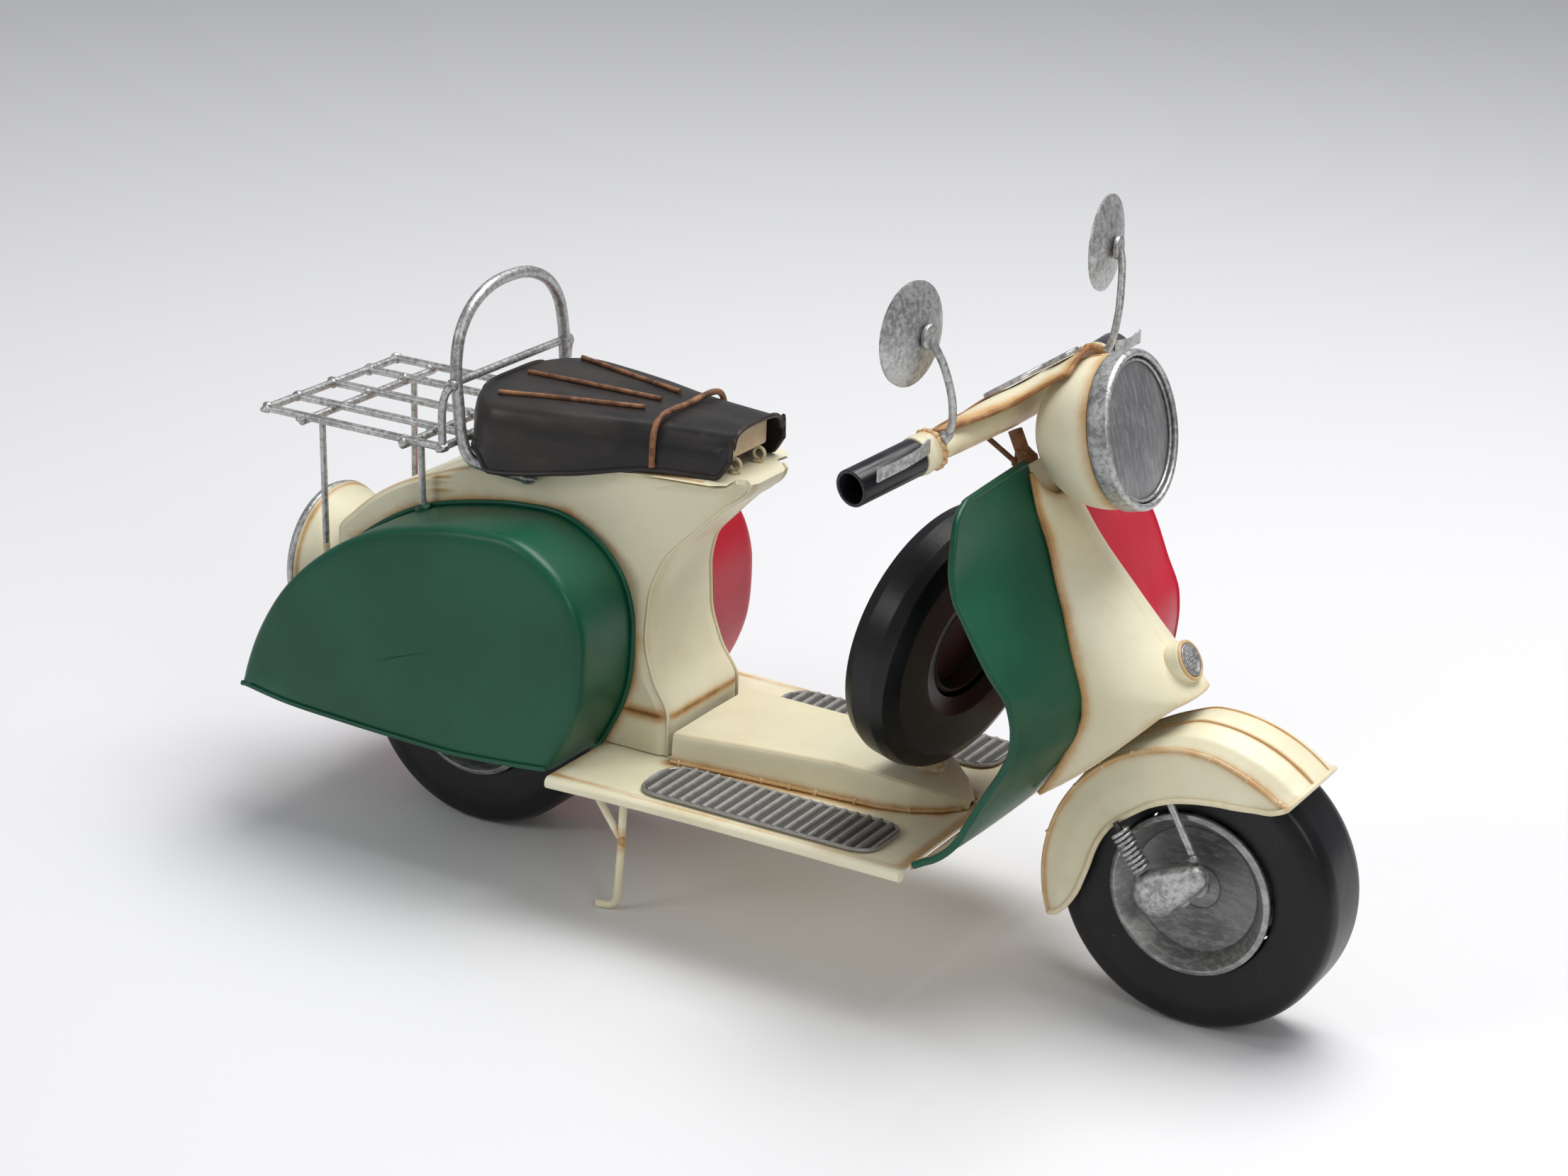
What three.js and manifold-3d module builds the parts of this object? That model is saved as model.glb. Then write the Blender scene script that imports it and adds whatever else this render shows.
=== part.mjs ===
// Tin display scooter: a hand-made sheet-metal scooter with turning wheels, a steering head
// and a seat that tips forward. Millimetres, +X forward, +Y to the rider's left, +Z up.
// Geometry is drawn with the rear axle above x = 0; the whole group is then moved so that
// the origin is on the ground, in the middle of the length.

import * as THREE from 'three';
import { mergeVertices } from 'three/addons/utils/BufferGeometryUtils.js';
import ManifoldModule from 'manifold-3d';

const wasm = await ManifoldModule();
wasm.setup();

// ---------------------------------------------------------------- driving dimensions
const GAP = 0.4;                  // clearance left between touching pieces
const SHEET = 1.4;                // tin sheet
const WHEEL_RADIUS = 64;
const WHEELBASE = 374.8;
const TYRE_HALF_WIDTH = 20;
const RIM_RADIUS = 37;            // bore of the tyre
const AXLE_RADIUS = 3;
const BODY_HALF_WIDTH = 32;
const BODY_BOTTOM = 68.4;
const COWL_INNER_Y = 32.6;
const COWL_OUTER_Y = 76;
const FLOOR_TOP = 68;
const FLOOR_UNDERSIDE = 66;
const FLOOR_HALF_WIDTH = 76;
const FLOOR_REAR_X = 85;
const FLOOR_FRONT_X = 265.4;
const FLOOR_ROLL_RADIUS = 3;
const TUNNEL_REAR_X = 123;
const MAT_INNER_Y = 39;
const MAT_OUTER_Y = 72;
const MAT_REAR_X = 127;
const MAT_FRONT_X = 248;
const MAT_THICKNESS = 2.4;
const SHIELD_TOP = 236;
const COLUMN_TOP = { x: 270, z: 247 };
const RAKE = THREE.MathUtils.degToRad(25);
const COLUMN_RADIUS = 3.2;
const KNOT_RADIUS = 5;             // brazed lump near the top of the column
const SPARE_CENTRE = { x: 245.4, z: 147.2 };
const SPARE_RADIUS = 61.5;
const SPARE_THICKNESS = 28;
const SPARE_TILT = THREE.MathUtils.degToRad(10);
const SPARE_TURN = THREE.MathUtils.degToRad(-10);
const LAMP_CENTRE = { x: 330, z: 257.7 };
const LAMP_TILT = THREE.MathUtils.degToRad(13.7);
const LAMP_RADIUS = 34;
const SEAT_TOP = 226;
const SEAT_HINGE = { x: 138, z: 207.6 };
const RACK_Z = 201;
const RACK_ROD_RADIUS = 1.9;
const MIRROR_RADIUS = 21.5;
const TAIL_X = -97;               // rearmost rod of the rack
const NOSE_X = WHEELBASE + WHEEL_RADIUS;

// ---------------------------------------------------------------- geometry helpers
const point = (x, y, z) => new THREE.Vector3(x, y, z);

// Indexed positions only, with every shared corner merged.
function weld(geometry) {
  const bare = geometry.clone();
  bare.deleteAttribute('normal');
  bare.deleteAttribute('uv');
  return mergeVertices(bare, 1e-4);
}

function signedVolume(geometry) {
  const position = geometry.attributes.position;
  const index = geometry.index.array;
  const [a, b, c] = [point(), point(), point()];
  let total = 0;
  for (let i = 0; i < index.length; i += 3) {
    a.fromBufferAttribute(position, index[i]);
    b.fromBufferAttribute(position, index[i + 1]);
    c.fromBufferAttribute(position, index[i + 2]);
    total += a.dot(b.cross(c)) / 6;
  }
  return total;
}

// Turn a closed mesh so that its faces point out.
function outward(geometry) {
  const welded = weld(geometry);
  if (signedVolume(welded) < 0) {
    const index = welded.index.array;
    for (let i = 0; i < index.length; i += 3) {
      [index[i], index[i + 1]] = [index[i + 1], index[i]];
    }
  }
  return welded;
}

function toManifold(geometry) {
  const closed = outward(geometry);
  return new wasm.Manifold(new wasm.Mesh({
    numProp: 3,
    vertProperties: new Float32Array(closed.attributes.position.array),
    triVerts: new Uint32Array(closed.index.array),
  }));
}

function fromManifold(solid) {
  const mesh = solid.getMesh();
  const geometry = new THREE.BufferGeometry();
  geometry.setAttribute('position', new THREE.BufferAttribute(mesh.vertProperties, 3));
  geometry.setIndex(new THREE.BufferAttribute(mesh.triVerts, 1));
  return geometry;
}

function join(...geometries) {
  const solids = geometries.map(toManifold);
  return fromManifold(solids.reduce((sum, next) => sum.add(next)));
}

function cut(geometry, ...tools) {
  const solids = tools.map(toManifold);
  return fromManifold(solids.reduce((rest, tool) => rest.subtract(tool), toManifold(geometry)));
}

function mirrored(geometry) {
  return outward(geometry.clone().scale(1, -1, 1));
}

// Skin over a row of equal-count rings, with a fan over each end.
function loft(rings) {
  const count = rings[0].length;
  const vertices = rings.flat();
  const index = [];
  for (let i = 0; i + 1 < rings.length; i += 1) {
    for (let j = 0; j < count; j += 1) {
      const a = i * count + j;
      const b = i * count + (j + 1) % count;
      index.push(a, b, b + count, a, b + count, a + count);
    }
  }
  for (const [ring, start] of [[rings[0], 0], [rings.at(-1), (rings.length - 1) * count]]) {
    const centre = ring.reduce((sum, p) => sum.add(p), point(0, 0, 0)).divideScalar(count);
    vertices.push(centre);
    const middle = vertices.length - 1;
    for (let j = 0; j < count; j += 1) {
      const a = start + j;
      const b = start + (j + 1) % count;
      index.push(...(start === 0 ? [b, a, middle] : [a, b, middle]));
    }
  }
  const geometry = new THREE.BufferGeometry().setFromPoints(vertices);
  geometry.setIndex(index);
  return outward(geometry);
}

// Thin sheet: a grid of points on one face, and the same grid moved along its own normals.
function sheet(grid, thickness) {
  const rows = grid.length;
  const columns = grid[0].length;
  const clampRow = (i) => Math.min(Math.max(i, 0), rows - 1);
  const clampColumn = (j) => Math.min(Math.max(j, 0), columns - 1);
  const back = grid.map((row, i) => row.map((p, j) => {
    const across = grid[i][clampColumn(j + 1)].clone().sub(grid[i][clampColumn(j - 1)]);
    const along = grid[clampRow(i + 1)][j].clone().sub(grid[clampRow(i - 1)][j]);
    return p.clone().addScaledVector(across.cross(along).normalize(), thickness);
  }));
  return between(grid, back);
}

// Closed solid between two grids of equal size.
function between(grid, back) {
  const rows = grid.length;
  const columns = grid[0].length;
  const vertices = [...grid.flat(), ...back.flat()];
  const far = rows * columns;
  const at = (i, j) => i * columns + j;
  const index = [];
  const quad = (a, b, c, d) => index.push(a, b, c, a, c, d);
  for (let i = 0; i + 1 < rows; i += 1) {
    for (let j = 0; j + 1 < columns; j += 1) {
      quad(at(i, j), at(i, j + 1), at(i + 1, j + 1), at(i + 1, j));
      quad(far + at(i + 1, j), far + at(i + 1, j + 1), far + at(i, j + 1), far + at(i, j));
    }
  }
  for (let j = 0; j + 1 < columns; j += 1) {
    quad(at(0, j + 1), at(0, j), far + at(0, j), far + at(0, j + 1));
    quad(at(rows - 1, j), at(rows - 1, j + 1), far + at(rows - 1, j + 1), far + at(rows - 1, j));
  }
  for (let i = 0; i + 1 < rows; i += 1) {
    quad(at(i, 0), at(i + 1, 0), far + at(i + 1, 0), far + at(i, 0));
    quad(at(i + 1, columns - 1), at(i, columns - 1), far + at(i, columns - 1), far + at(i + 1, columns - 1));
  }
  const geometry = new THREE.BufferGeometry().setFromPoints(vertices);
  geometry.setIndex(index);
  return outward(geometry);
}

// Straight round bar from a to b.
function bar(a, b, radius, sides = 10) {
  const axis = b.clone().sub(a);
  const geometry = new THREE.CylinderGeometry(radius, radius, axis.length(), sides);
  const turn = new THREE.Quaternion().setFromUnitVectors(point(0, 1, 0), axis.clone().normalize());
  geometry.applyQuaternion(turn);
  const middle = a.clone().add(b).multiplyScalar(0.5);
  geometry.translate(middle.x, middle.y, middle.z);
  return outward(geometry);
}

// Bent round rod through a row of points.
function rod(points, radius, { sides = 8, steps = points.length * 3 } = {}) {
  const section = new THREE.Shape();
  section.absarc(0, 0, radius, 0, Math.PI * 2, false);
  const extrudePath = new THREE.CatmullRomCurve3(points, false, 'centripetal');
  const geometry = new THREE.ExtrudeGeometry(section, { steps, extrudePath, curveSegments: sides / 2 });
  return outward(geometry);
}

// Outline in the X-Z plane, extruded along Y from y0 to y1.
function slab(outline, y0, y1) {
  const shape = new THREE.Shape(outline.map(([x, z]) => new THREE.Vector2(x, z)));
  const geometry = new THREE.ExtrudeGeometry(shape, { depth: y1 - y0, bevelEnabled: false });
  geometry.rotateX(Math.PI / 2);
  geometry.translate(0, y1, 0);
  return outward(geometry);
}

// Outline in the X-Y plane, extruded upward from z0 to z1.
function panel(shape, z0, z1, curveSegments = 8) {
  const options = { depth: z1 - z0, bevelEnabled: false, curveSegments };
  const geometry = new THREE.ExtrudeGeometry(shape, options);
  geometry.translate(0, 0, z0);
  return outward(geometry);
}

// Turned piece about its own axis; the profile is [radius, distance along the axis].
function turned(profile, direction, origin, segments = 32) {
  const closed = [...profile, profile[0]].map(([r, h]) => new THREE.Vector2(r, h));
  const onAxis = profile[0][0] === 0 && profile.at(-1)[0] === 0;
  const points = onAxis ? closed.slice(0, -1) : closed;
  const geometry = weld(new THREE.LatheGeometry(points, segments));
  const turn = new THREE.Quaternion().setFromUnitVectors(point(0, 1, 0), direction.clone().normalize());
  geometry.applyQuaternion(turn);
  geometry.translate(origin.x, origin.y, origin.z);
  return outward(geometry);
}

// Straight-line interpolation in a table of [key, value] rows sorted by key.
function lookUp(table, key) {
  if (key <= table[0][0]) return table[0][1];
  for (let i = 0; i + 1 < table.length; i += 1) {
    const [k0, v0] = table[i];
    const [k1, v1] = table[i + 1];
    if (key <= k1) return v0 + (v1 - v0) * (key - k0) / (k1 - k0);
  }
  return table.at(-1)[1];
}

// Outline moved inward by a distance, corner by corner.
function inset(outline, distance) {
  const count = outline.length;
  let area = 0;
  outline.forEach(([x, y], i) => {
    const [nx, ny] = outline[(i + 1) % count];
    area += x * ny - nx * y;
  });
  const inwards = area > 0 ? 1 : -1;
  return outline.map(([x, y], i) => {
    const [px, py] = outline[(i + count - 1) % count];
    const [nx, ny] = outline[(i + 1) % count];
    const tangent = new THREE.Vector2(nx - px, ny - py).normalize();
    return [x - tangent.y * distance * inwards, y + tangent.x * distance * inwards];
  });
}

// ---------------------------------------------------------------- materials
function paint(color, roughness = 0.45, metalness = 0) {
  return new THREE.MeshStandardMaterial({ color, roughness, metalness });
}
const finishes = {
  cream: () => paint(0xe9e2c4),
  green: () => paint(0x0f4a2c, 0.35),
  red: () => paint(0xb3152c, 0.35),
  tyre: () => paint(0x17181a, 0.5),
  silver: () => paint(0x8f8f8c, 0.35, 0.8),
  seat: () => paint(0x2b211c, 0.4),
  mat: () => paint(0x77756d, 0.5, 0.3),
  rust: () => paint(0x6d3c22, 0.7, 0.3),
  grip: () => paint(0x121316, 0.35),
  lens: () => paint(0x77777a, 0.3, 0.6),
};

const scooter = new THREE.Group();
function add(name, geometry, finish) {
  const mesh = new THREE.Mesh(geometry, finishes[finish]());
  mesh.name = name;
  mesh.position.x = -(NOSE_X + TAIL_X) / 2;
  scooter.add(mesh);
}

const ALONG_Y = point(0, 1, 0);
const SIDES = [['right', -1], ['left', 1]];

// ---------------------------------------------------------------- wheels
// Hollow tyre, open at its bore: the half section's outer line and its inner line, both read
// from the middle of the tread to the bore.
function tyreSection(outerLine, innerLine) {
  const across = (line) => [...line.map(([r, h]) => [r, -h]).reverse(), ...line];
  return [...across(outerLine), ...across(innerLine).reverse()];
}

function addWheel(place, axleX) {
  const axle = point(axleX, 0, WHEEL_RADIUS);
  const outerLine = [
    [WHEEL_RADIUS, 12], [WHEEL_RADIUS - 2, 17.5], [54, TYRE_HALF_WIDTH], [RIM_RADIUS + 0.3, 18],
  ];
  const innerLine = [
    [WHEEL_RADIUS - SHEET, 11.4], [WHEEL_RADIUS - 3.2, 16.4], [53.6, TYRE_HALF_WIDTH - SHEET],
    [RIM_RADIUS + 0.3, 16.6],
  ];
  add(`${place}_tyre`, turned(tyreSection(outerLine, innerLine), ALONG_Y, axle, 32), 'tyre');
  const bore = AXLE_RADIUS + GAP;
  const disc = [
    [bore, 8.4], [10, 8.4], [27, 12], [33.5, 19], [RIM_RADIUS, 19],
    [RIM_RADIUS, 21], [34.6, 22.2], [28.5, 13.6], [10, 10], [bore, 10],
  ];
  for (const [side, sign] of SIDES) {
    const outwardAxis = point(0, sign, 0);
    add(`${place}_wheel_disc_${side}`, turned(disc, outwardAxis, axle, 24), 'silver');
  }
}

// Axle rod with a washer against the hub of each wheel disc.
function addAxle(name, axleX, rightEnd, leftEnd) {
  const profile = [
    [0, -rightEnd], [AXLE_RADIUS, -rightEnd], [AXLE_RADIUS, -12.4], [4.6, -12.4], [4.6, -10.6],
    [AXLE_RADIUS, -10.6], [AXLE_RADIUS, 10.6], [4.6, 10.6], [4.6, 12.4], [AXLE_RADIUS, 12.4],
    [AXLE_RADIUS, leftEnd], [0, leftEnd],
  ];
  add(name, turned(profile, ALONG_Y, point(axleX, 0, WHEEL_RADIUS), 14), 'silver');
}

addWheel('rear', 0);
addWheel('front', WHEELBASE);
addAxle('rear_axle', 0, BODY_HALF_WIDTH, BODY_HALF_WIDTH);
addAxle('front_axle', WHEELBASE, 27.2, 15);

const spareAxis = point(1, 0, 0).applyEuler(new THREE.Euler(0, SPARE_TILT, SPARE_TURN, 'ZYX'));
const spareCentre = point(SPARE_CENTRE.x, 0, SPARE_CENTRE.z);
// Half section of the spare tyre, from the middle of the tread to the bore, grown by a margin.
function spareLine(margin) {
  const face = SPARE_THICKNESS / 2 + margin;
  const tread = SPARE_RADIUS + margin;
  return [[tread, 5], [tread - 2, 10.5], [52, face], [33, face], [25, 11 + margin]];
}

// ---------------------------------------------------------------- rear body
// Side view of the body: x of its back and of its front at each height.
const BODY_BACK = [[BODY_BOTTOM, -68], [78, -71], [140.6, -71], [149.7, -63], [166, -42],
  [178.5, -14.7], [189.7, 19], [197, 60], [202, 100], [203.5, 132]];
const BODY_FRONT = [[BODY_BOTTOM, 119], [87.3, 119], [104.4, 110], [124, 105], [141.4, 105.4],
  [159.6, 110.7], [174, 123.6], [188, 138], [197, 149], [201.5, 151], [203.5, 149]];
// Half-width of the seat post along its front edge, narrowing upward.
const POST_HALF_WIDTH = [[90, 32], [125, 30], [145, 27.5], [165, 22.5], [185, 18.5], [203, 17]];

function bodyRing(z, wall) {
  const back = lookUp(BODY_BACK, z) + wall;
  const front = lookUp(BODY_FRONT, z) - wall;
  const side = BODY_HALF_WIDTH - wall;
  const nose = lookUp(POST_HALF_WIDTH, z) - wall;
  const straightEnd = Math.max(back + 6, Math.min(55, front - 50));
  const half = [
    [back, side - 5],
    [back + 1.5, side - 1.5],
    [back + 5, side],
    [straightEnd, side],
    [straightEnd + (front - straightEnd) * 0.55, side + (nose - side) * 0.3],
    [front - 6, nose],
    [front - 1.8, nose - 1.8],
    [front, nose - 6],
  ];
  return [
    ...half.map(([x, y]) => point(x, -y, z)),
    ...half.map(([x, y]) => point(x, y, z)).reverse(),
  ];
}

function rearBody() {
  const levels = [BODY_BOTTOM, 87.3, 104.4, 124, 141.4, 149.7, 159.6, 166, 174, 178.5, 188, 193, 197, 201.5,
    203.5];
  const outer = loft(levels.map((z) => bodyRing(z, 0)));
  const innerLevels = [BODY_BOTTOM - 5, ...levels.slice(0, 12)];
  const inner = loft(innerLevels.map((z) => {
    const ring = bodyRing(Math.max(z, BODY_BOTTOM), SHEET + 0.6);
    return ring.map((p) => point(p.x, p.y, z < BODY_BOTTOM ? z : z - 4));
  }));
  const shell = cut(outer, inner);
  const hanger = [[-13, BODY_BOTTOM + 6], [-9, 57], [9, 57], [13, BODY_BOTTOM + 6]];
  const hangers = SIDES.map(([, sign]) => {
    const faces = [sign * BODY_HALF_WIDTH, sign * (BODY_HALF_WIDTH - 2)].sort((a, b) => a - b);
    return slab(hanger, ...faces);
  });
  const axleHole = bar(
    point(0, -40, WHEEL_RADIUS), point(0, 40, WHEEL_RADIUS), AXLE_RADIUS + GAP, 16,
  );
  return cut(join(shell, ...hangers), axleHole);
}
add('rear_body', rearBody(), 'cream');

// Round tail housing, flaring rearward to a ring that holds the lamp.
function tailHousing() {
  const mouth = point(-93, 0, 113);
  const profile = [
    [0, 19.8], [29.2, 19.8], [31.6, 10], [33.6, 0], [36.5, 0], [33, 10], [30.5, 21.4], [0, 21.4],
  ];
  return turned(profile, point(1, 0, 0), mouth, 28);
}
add('tail_housing', tailHousing(), 'cream');
add('tail_lamp', turned(
  [[0, -3], [32.4, -3], [32.8, 0], [36.6, 0], [37.2, 1.5], [36.5, 3], [33.5, 3], [32, 1.4], [0, 2]],
  point(-1, 0, 0), point(-93.4, 0, 113), 28,
), 'silver');

// ---------------------------------------------------------------- side cowls
const COWL_OUTLINE = [
  [-95.6, 69.2], [-93, 79], [-85, 99], [-71, 121.5], [-54, 139], [-33, 154], [-13, 163.6], [15, 170.8],
  [39, 174.3], [62, 174.1], [81, 165], [93, 152], [98.5, 137], [99.4, 123], [97.7, 102.5], [93, 88],
  [82, 67], [54, 64.1], [30, 62.4], [-2, 62.7], [-35, 63.6], [-69, 65.3],
];
function cowl() {
  const ring = (y, distance) => inset(COWL_OUTLINE, distance).map(([x, z]) => point(x, -y, z));
  const outer = loft([
    ring(COWL_INNER_Y, 0), ring(COWL_OUTER_Y - 5, 0), ring(COWL_OUTER_Y - 1.6, 1.5), ring(COWL_OUTER_Y, 5),
  ]);
  const wall = 1.8;
  const hollow = loft([
    ring(COWL_INNER_Y - 3, wall), ring(COWL_OUTER_Y - 6, wall), ring(COWL_OUTER_Y - wall, 6),
  ]);
  return cut(outer, hollow);
}
add('cowl_right', cowl(), 'green');
add('cowl_left', mirrored(cowl()), 'red');

// ---------------------------------------------------------------- floor
function floorboard() {
  const outline = new THREE.Shape();
  outline.moveTo(FLOOR_REAR_X, -FLOOR_HALF_WIDTH - 3);
  outline.lineTo(150, -FLOOR_HALF_WIDTH);
  outline.lineTo(FLOOR_FRONT_X, -FLOOR_HALF_WIDTH);
  outline.lineTo(FLOOR_FRONT_X, FLOOR_HALF_WIDTH);
  outline.lineTo(150, FLOOR_HALF_WIDTH);
  outline.lineTo(FLOOR_REAR_X, FLOOR_HALF_WIDTH + 3);
  const plate = panel(outline, FLOOR_UNDERSIDE, FLOOR_TOP);
  const rollZ = FLOOR_TOP - FLOOR_ROLL_RADIUS;
  const rolls = SIDES.map(([, sign]) => rod([
    point(FLOOR_REAR_X, sign * (FLOOR_HALF_WIDTH + 3), rollZ),
    point(118, sign * (FLOOR_HALF_WIDTH + 1.2), rollZ),
    point(150, sign * FLOOR_HALF_WIDTH, rollZ),
    point(FLOOR_FRONT_X, sign * FLOOR_HALF_WIDTH, rollZ),
  ], FLOOR_ROLL_RADIUS, { steps: 6 }));
  return join(plate, ...rolls);
}
add('floorboard', floorboard(), 'cream');

// Height and half-width of the centre tunnel along its length.
const TUNNEL_TOP = [[TUNNEL_REAR_X, 82], [160, 83.6], [205, 85], [225, 83.6], [240, 80.6], [252, 76],
  [260, 71]];
const TUNNEL_HALF_WIDTH = [[TUNNEL_REAR_X, 35], [160, 31], [225, 25], [240, 21], [252, 13], [260, 4]];
function tunnel() {
  const stations = [TUNNEL_REAR_X, 140, 160, 182, 205, 225, 233, 240, 246, 252, 256, 260];
  const foot = FLOOR_TOP + GAP;
  const grid = stations.map((x) => {
    const top = lookUp(TUNNEL_TOP, x);
    const side = lookUp(TUNNEL_HALF_WIDTH, x);
    const half = [[side, foot], [side - 0.6, (foot + top) / 2], [side - 1.2, top - 2.5], [side - 3.5, top]];
    return [
      ...half.map(([y, z]) => point(x, -y, z)),
      point(x, 0, top + 0.2),
      ...half.map(([y, z]) => point(x, y, z)).reverse(),
    ];
  });
  const under = new THREE.BoxGeometry(400, 200, 20);
  under.translate(200, 0, foot - 10);
  const spareBraze = bar(point(238, 0, 79), point(238, 0, 86), 5, 12);
  const spareRoom = turned(tyreSection(spareLine(GAP), [[26, 11]]), spareAxis, spareCentre, 30);
  return cut(join(sheet(grid, SHEET), spareBraze), under, spareRoom);
}
add('tunnel', tunnel(), 'cream');

function floorMat() {
  const corner = 12;
  const mat = new THREE.Shape();
  mat.moveTo(MAT_REAR_X + corner, MAT_INNER_Y);
  mat.lineTo(MAT_FRONT_X - corner, MAT_INNER_Y);
  mat.absarc(MAT_FRONT_X - corner, MAT_INNER_Y + corner, corner, -Math.PI / 2, 0, false);
  mat.absarc(MAT_FRONT_X - corner, MAT_OUTER_Y - corner, corner, 0, Math.PI / 2, false);
  mat.absarc(MAT_REAR_X + corner, MAT_OUTER_Y - corner, corner, Math.PI / 2, Math.PI, false);
  mat.absarc(MAT_REAR_X + corner, MAT_INNER_Y + corner, corner, Math.PI, Math.PI * 1.5, false);
  const foot = FLOOR_TOP + GAP;
  return panel(mat, foot, foot + MAT_THICKNESS, 5);
}
add('floor_mat_left', floorMat(), 'mat');
add('floor_mat_right', mirrored(floorMat()), 'mat');

// Wire stand: a leg down to the ground and a brace back up to the floor.
function stand() {
  const leg = rod([
    point(114, -60, 65.5), point(112.5, -60, 30), point(110.6, -60, 5), point(108, -60.6, 2.2),
    point(101, -62, 1.9),
  ], 1.9, { steps: 10 });
  const brace = bar(point(92, -60, 64.5), point(112.6, -60, 36), 1.7, 8);
  return join(leg, brace);
}
add('stand', stand(), 'cream');

// ---------------------------------------------------------------- leg shield and front cover
// Right rim of the shield: x and half-width at each height.
const RIM_X = [[FLOOR_TOP, 268], [72, 271.5], [78, 282], [87, 291], [98, 297], [115, 306], [126, 312],
  [137, 316], [146, 316.5], [157, 315], [171, 307], [190, 297], [201, 290.5], [211, 288], [224, 287],
  [SHIELD_TOP, 284]];
const RIM_Y = [[FLOOR_TOP, 76], [98, 78], [137, 79], [157, 82], [171, 85.5], [190, 88], [211, 87],
  [224, 84.5], [231, 80], [SHIELD_TOP, 70]];
// Front face of the shield on its middle, a little behind the side edge of the front cover.
const SHIELD_X = [[FLOOR_TOP, 267], [78, 284], [87, 293.5], [97, 302.5], [110, 311.5], [120, 317.5],
  [133, 323.5], [145, 324], [155, 320.6], [166, 315.4], [179, 309.4], [193, 302.4], [206, 296.4], [219, 289.8],
  [SHIELD_TOP, 281]];
// Front cover: x and half-width of its side edge at each height, and x of its ridge.
const COVER_EDGE_X = [[97, 306.5], [104, 311], [117, 318], [130, 323.5], [139, 326], [147, 325], [162, 319],
  [179, 311.6], [193, 304.8], [206, 299], [219, 292], [235, 286]];
const COVER_HALF_WIDTH = [[97, 34], [145, 33], [165, 30], [185, 25], [203, 20.5], [219, 17.5], [235, 15]];
const COVER_RIDGE_X = [[147, 364.5], [155, 356], [167, 343.5], [176, 335], [187, 325], [199, 313.5],
  [210, 303], [217, 297], [225, 292], [235, 288]];
const COVER_TOP_MIDDLE = 222;
const COVER_TOP_SIDE = 234;

function shieldX(halfY, z) {
  const inner = lookUp(COVER_HALF_WIDTH, Math.max(z, 97));
  const share = Math.max(0, (halfY - inner) / (lookUp(RIM_Y, z) - inner));
  const middle = lookUp(SHIELD_X, z);
  return middle + (lookUp(RIM_X, z) - middle) * share ** 1.2;
}

const SHIELD_LEVELS = [FLOOR_TOP + 0.6, 72, 78, 87, 97, 106, 115, 126, 137, 146, 157, 171, 190, 203, 214, 224,
  231, SHIELD_TOP];
// Half-width of the cream centre panel: hidden behind the cover, full width below it.
const PANEL_HALF_WIDTH = [[FLOOR_TOP, 74], [72, 71], [78, 61], [87, 46], [97, 31], [110, 29], [150, 27],
  [205, 15], [SHIELD_TOP, 10]];

function shieldWing() {
  const grid = SHIELD_LEVELS.slice(1).map((z) => {
    const inner = lookUp(PANEL_HALF_WIDTH, z) + GAP;
    const rim = lookUp(RIM_Y, z);
    return [0, 0.25, 0.5, 0.75, 1].map((share) => {
      const halfY = inner + (rim - inner) * share;
      return point(shieldX(halfY, z), -halfY, z);
    });
  });
  return sheet(grid, SHEET);
}

const columnAxis = point(-Math.sin(RAKE), 0, Math.cos(RAKE));
const columnAt = (z) => {
  const down = (COLUMN_TOP.z - z) / columnAxis.z;
  return point(COLUMN_TOP.x - columnAxis.x * down, 0, z);
};

function shieldPanel() {
  const grid = SHIELD_LEVELS.map((z) => {
    const side = lookUp(PANEL_HALF_WIDTH, z);
    return [-1, -0.5, 0, 0.5, 1].map((share) => point(shieldX(Math.abs(share) * side, z), share * side, z));
  });
  const columnHole = bar(columnAt(90), columnAt(160), COLUMN_RADIUS + 2, 16);
  const columnNotch = bar(columnAt(224), columnAt(250), KNOT_RADIUS + 0.8, 16);
  return cut(sheet(grid, -SHEET), columnHole, columnNotch);
}
add('leg_shield_right', shieldWing(), 'green');
add('leg_shield_left', mirrored(shieldWing()), 'red');
add('leg_shield_panel', shieldPanel(), 'cream');

function coverGrid() {
  const rows = [0, 0.1, 0.2, 0.32, 0.45, 0.58, 0.7, 0.8, 0.9, 1];
  const shares = [-1, -0.93, -0.8, -0.6, -0.35, 0, 0.35, 0.6, 0.8, 0.93, 1];
  return rows.map((row) => shares.map((share) => {
    const across = Math.abs(share);
    const hem = 147.5 - 48 * across ** 4;
    const top = COVER_TOP_MIDDLE + (COVER_TOP_SIDE - COVER_TOP_MIDDLE) * across ** 2;
    const z = top + (hem - top) * row;
    const bluntness = 1.8 + 0.9 * row;
    const edge = lookUp(COVER_EDGE_X, z);
    const ridge = lookUp(COVER_RIDGE_X, z);
    const x = edge + (ridge - edge) * (1 - across ** bluntness);
    return point(x, share * lookUp(COVER_HALF_WIDTH, z), z);
  }));
}
add('front_cover', sheet(coverGrid(), SHEET), 'cream');

// Grid moved along X by a distance.
const shifted = (grid, distance) => grid.map((row) => row.map((p) => point(p.x + distance, p.y, p.z)));

const hornAxis = point(0.86, 0, 0.51);
const hornFoot = point(352.4, 0, 157.4);
function hornCup() {
  const cup = turned(
    [[0, -3], [8.9, -3], [9.3, 6], [8.8, 7.2], [7.6, 7.2], [7.6, 4.4], [0, 4.4]], hornAxis, hornFoot, 20,
  );
  const coverRoom = between(shifted(coverGrid(), 0.6), shifted(coverGrid(), -25));
  return cut(cup, coverRoom);
}
add('horn_cup', hornCup(), 'cream');
add('horn_grille', turned(
  [[0, 4.9], [7.2, 4.9], [7.2, 8], [6.2, 8.2], [4.4, 7.2], [0, 7.2]], hornAxis, hornFoot, 20,
), 'silver');

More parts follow.
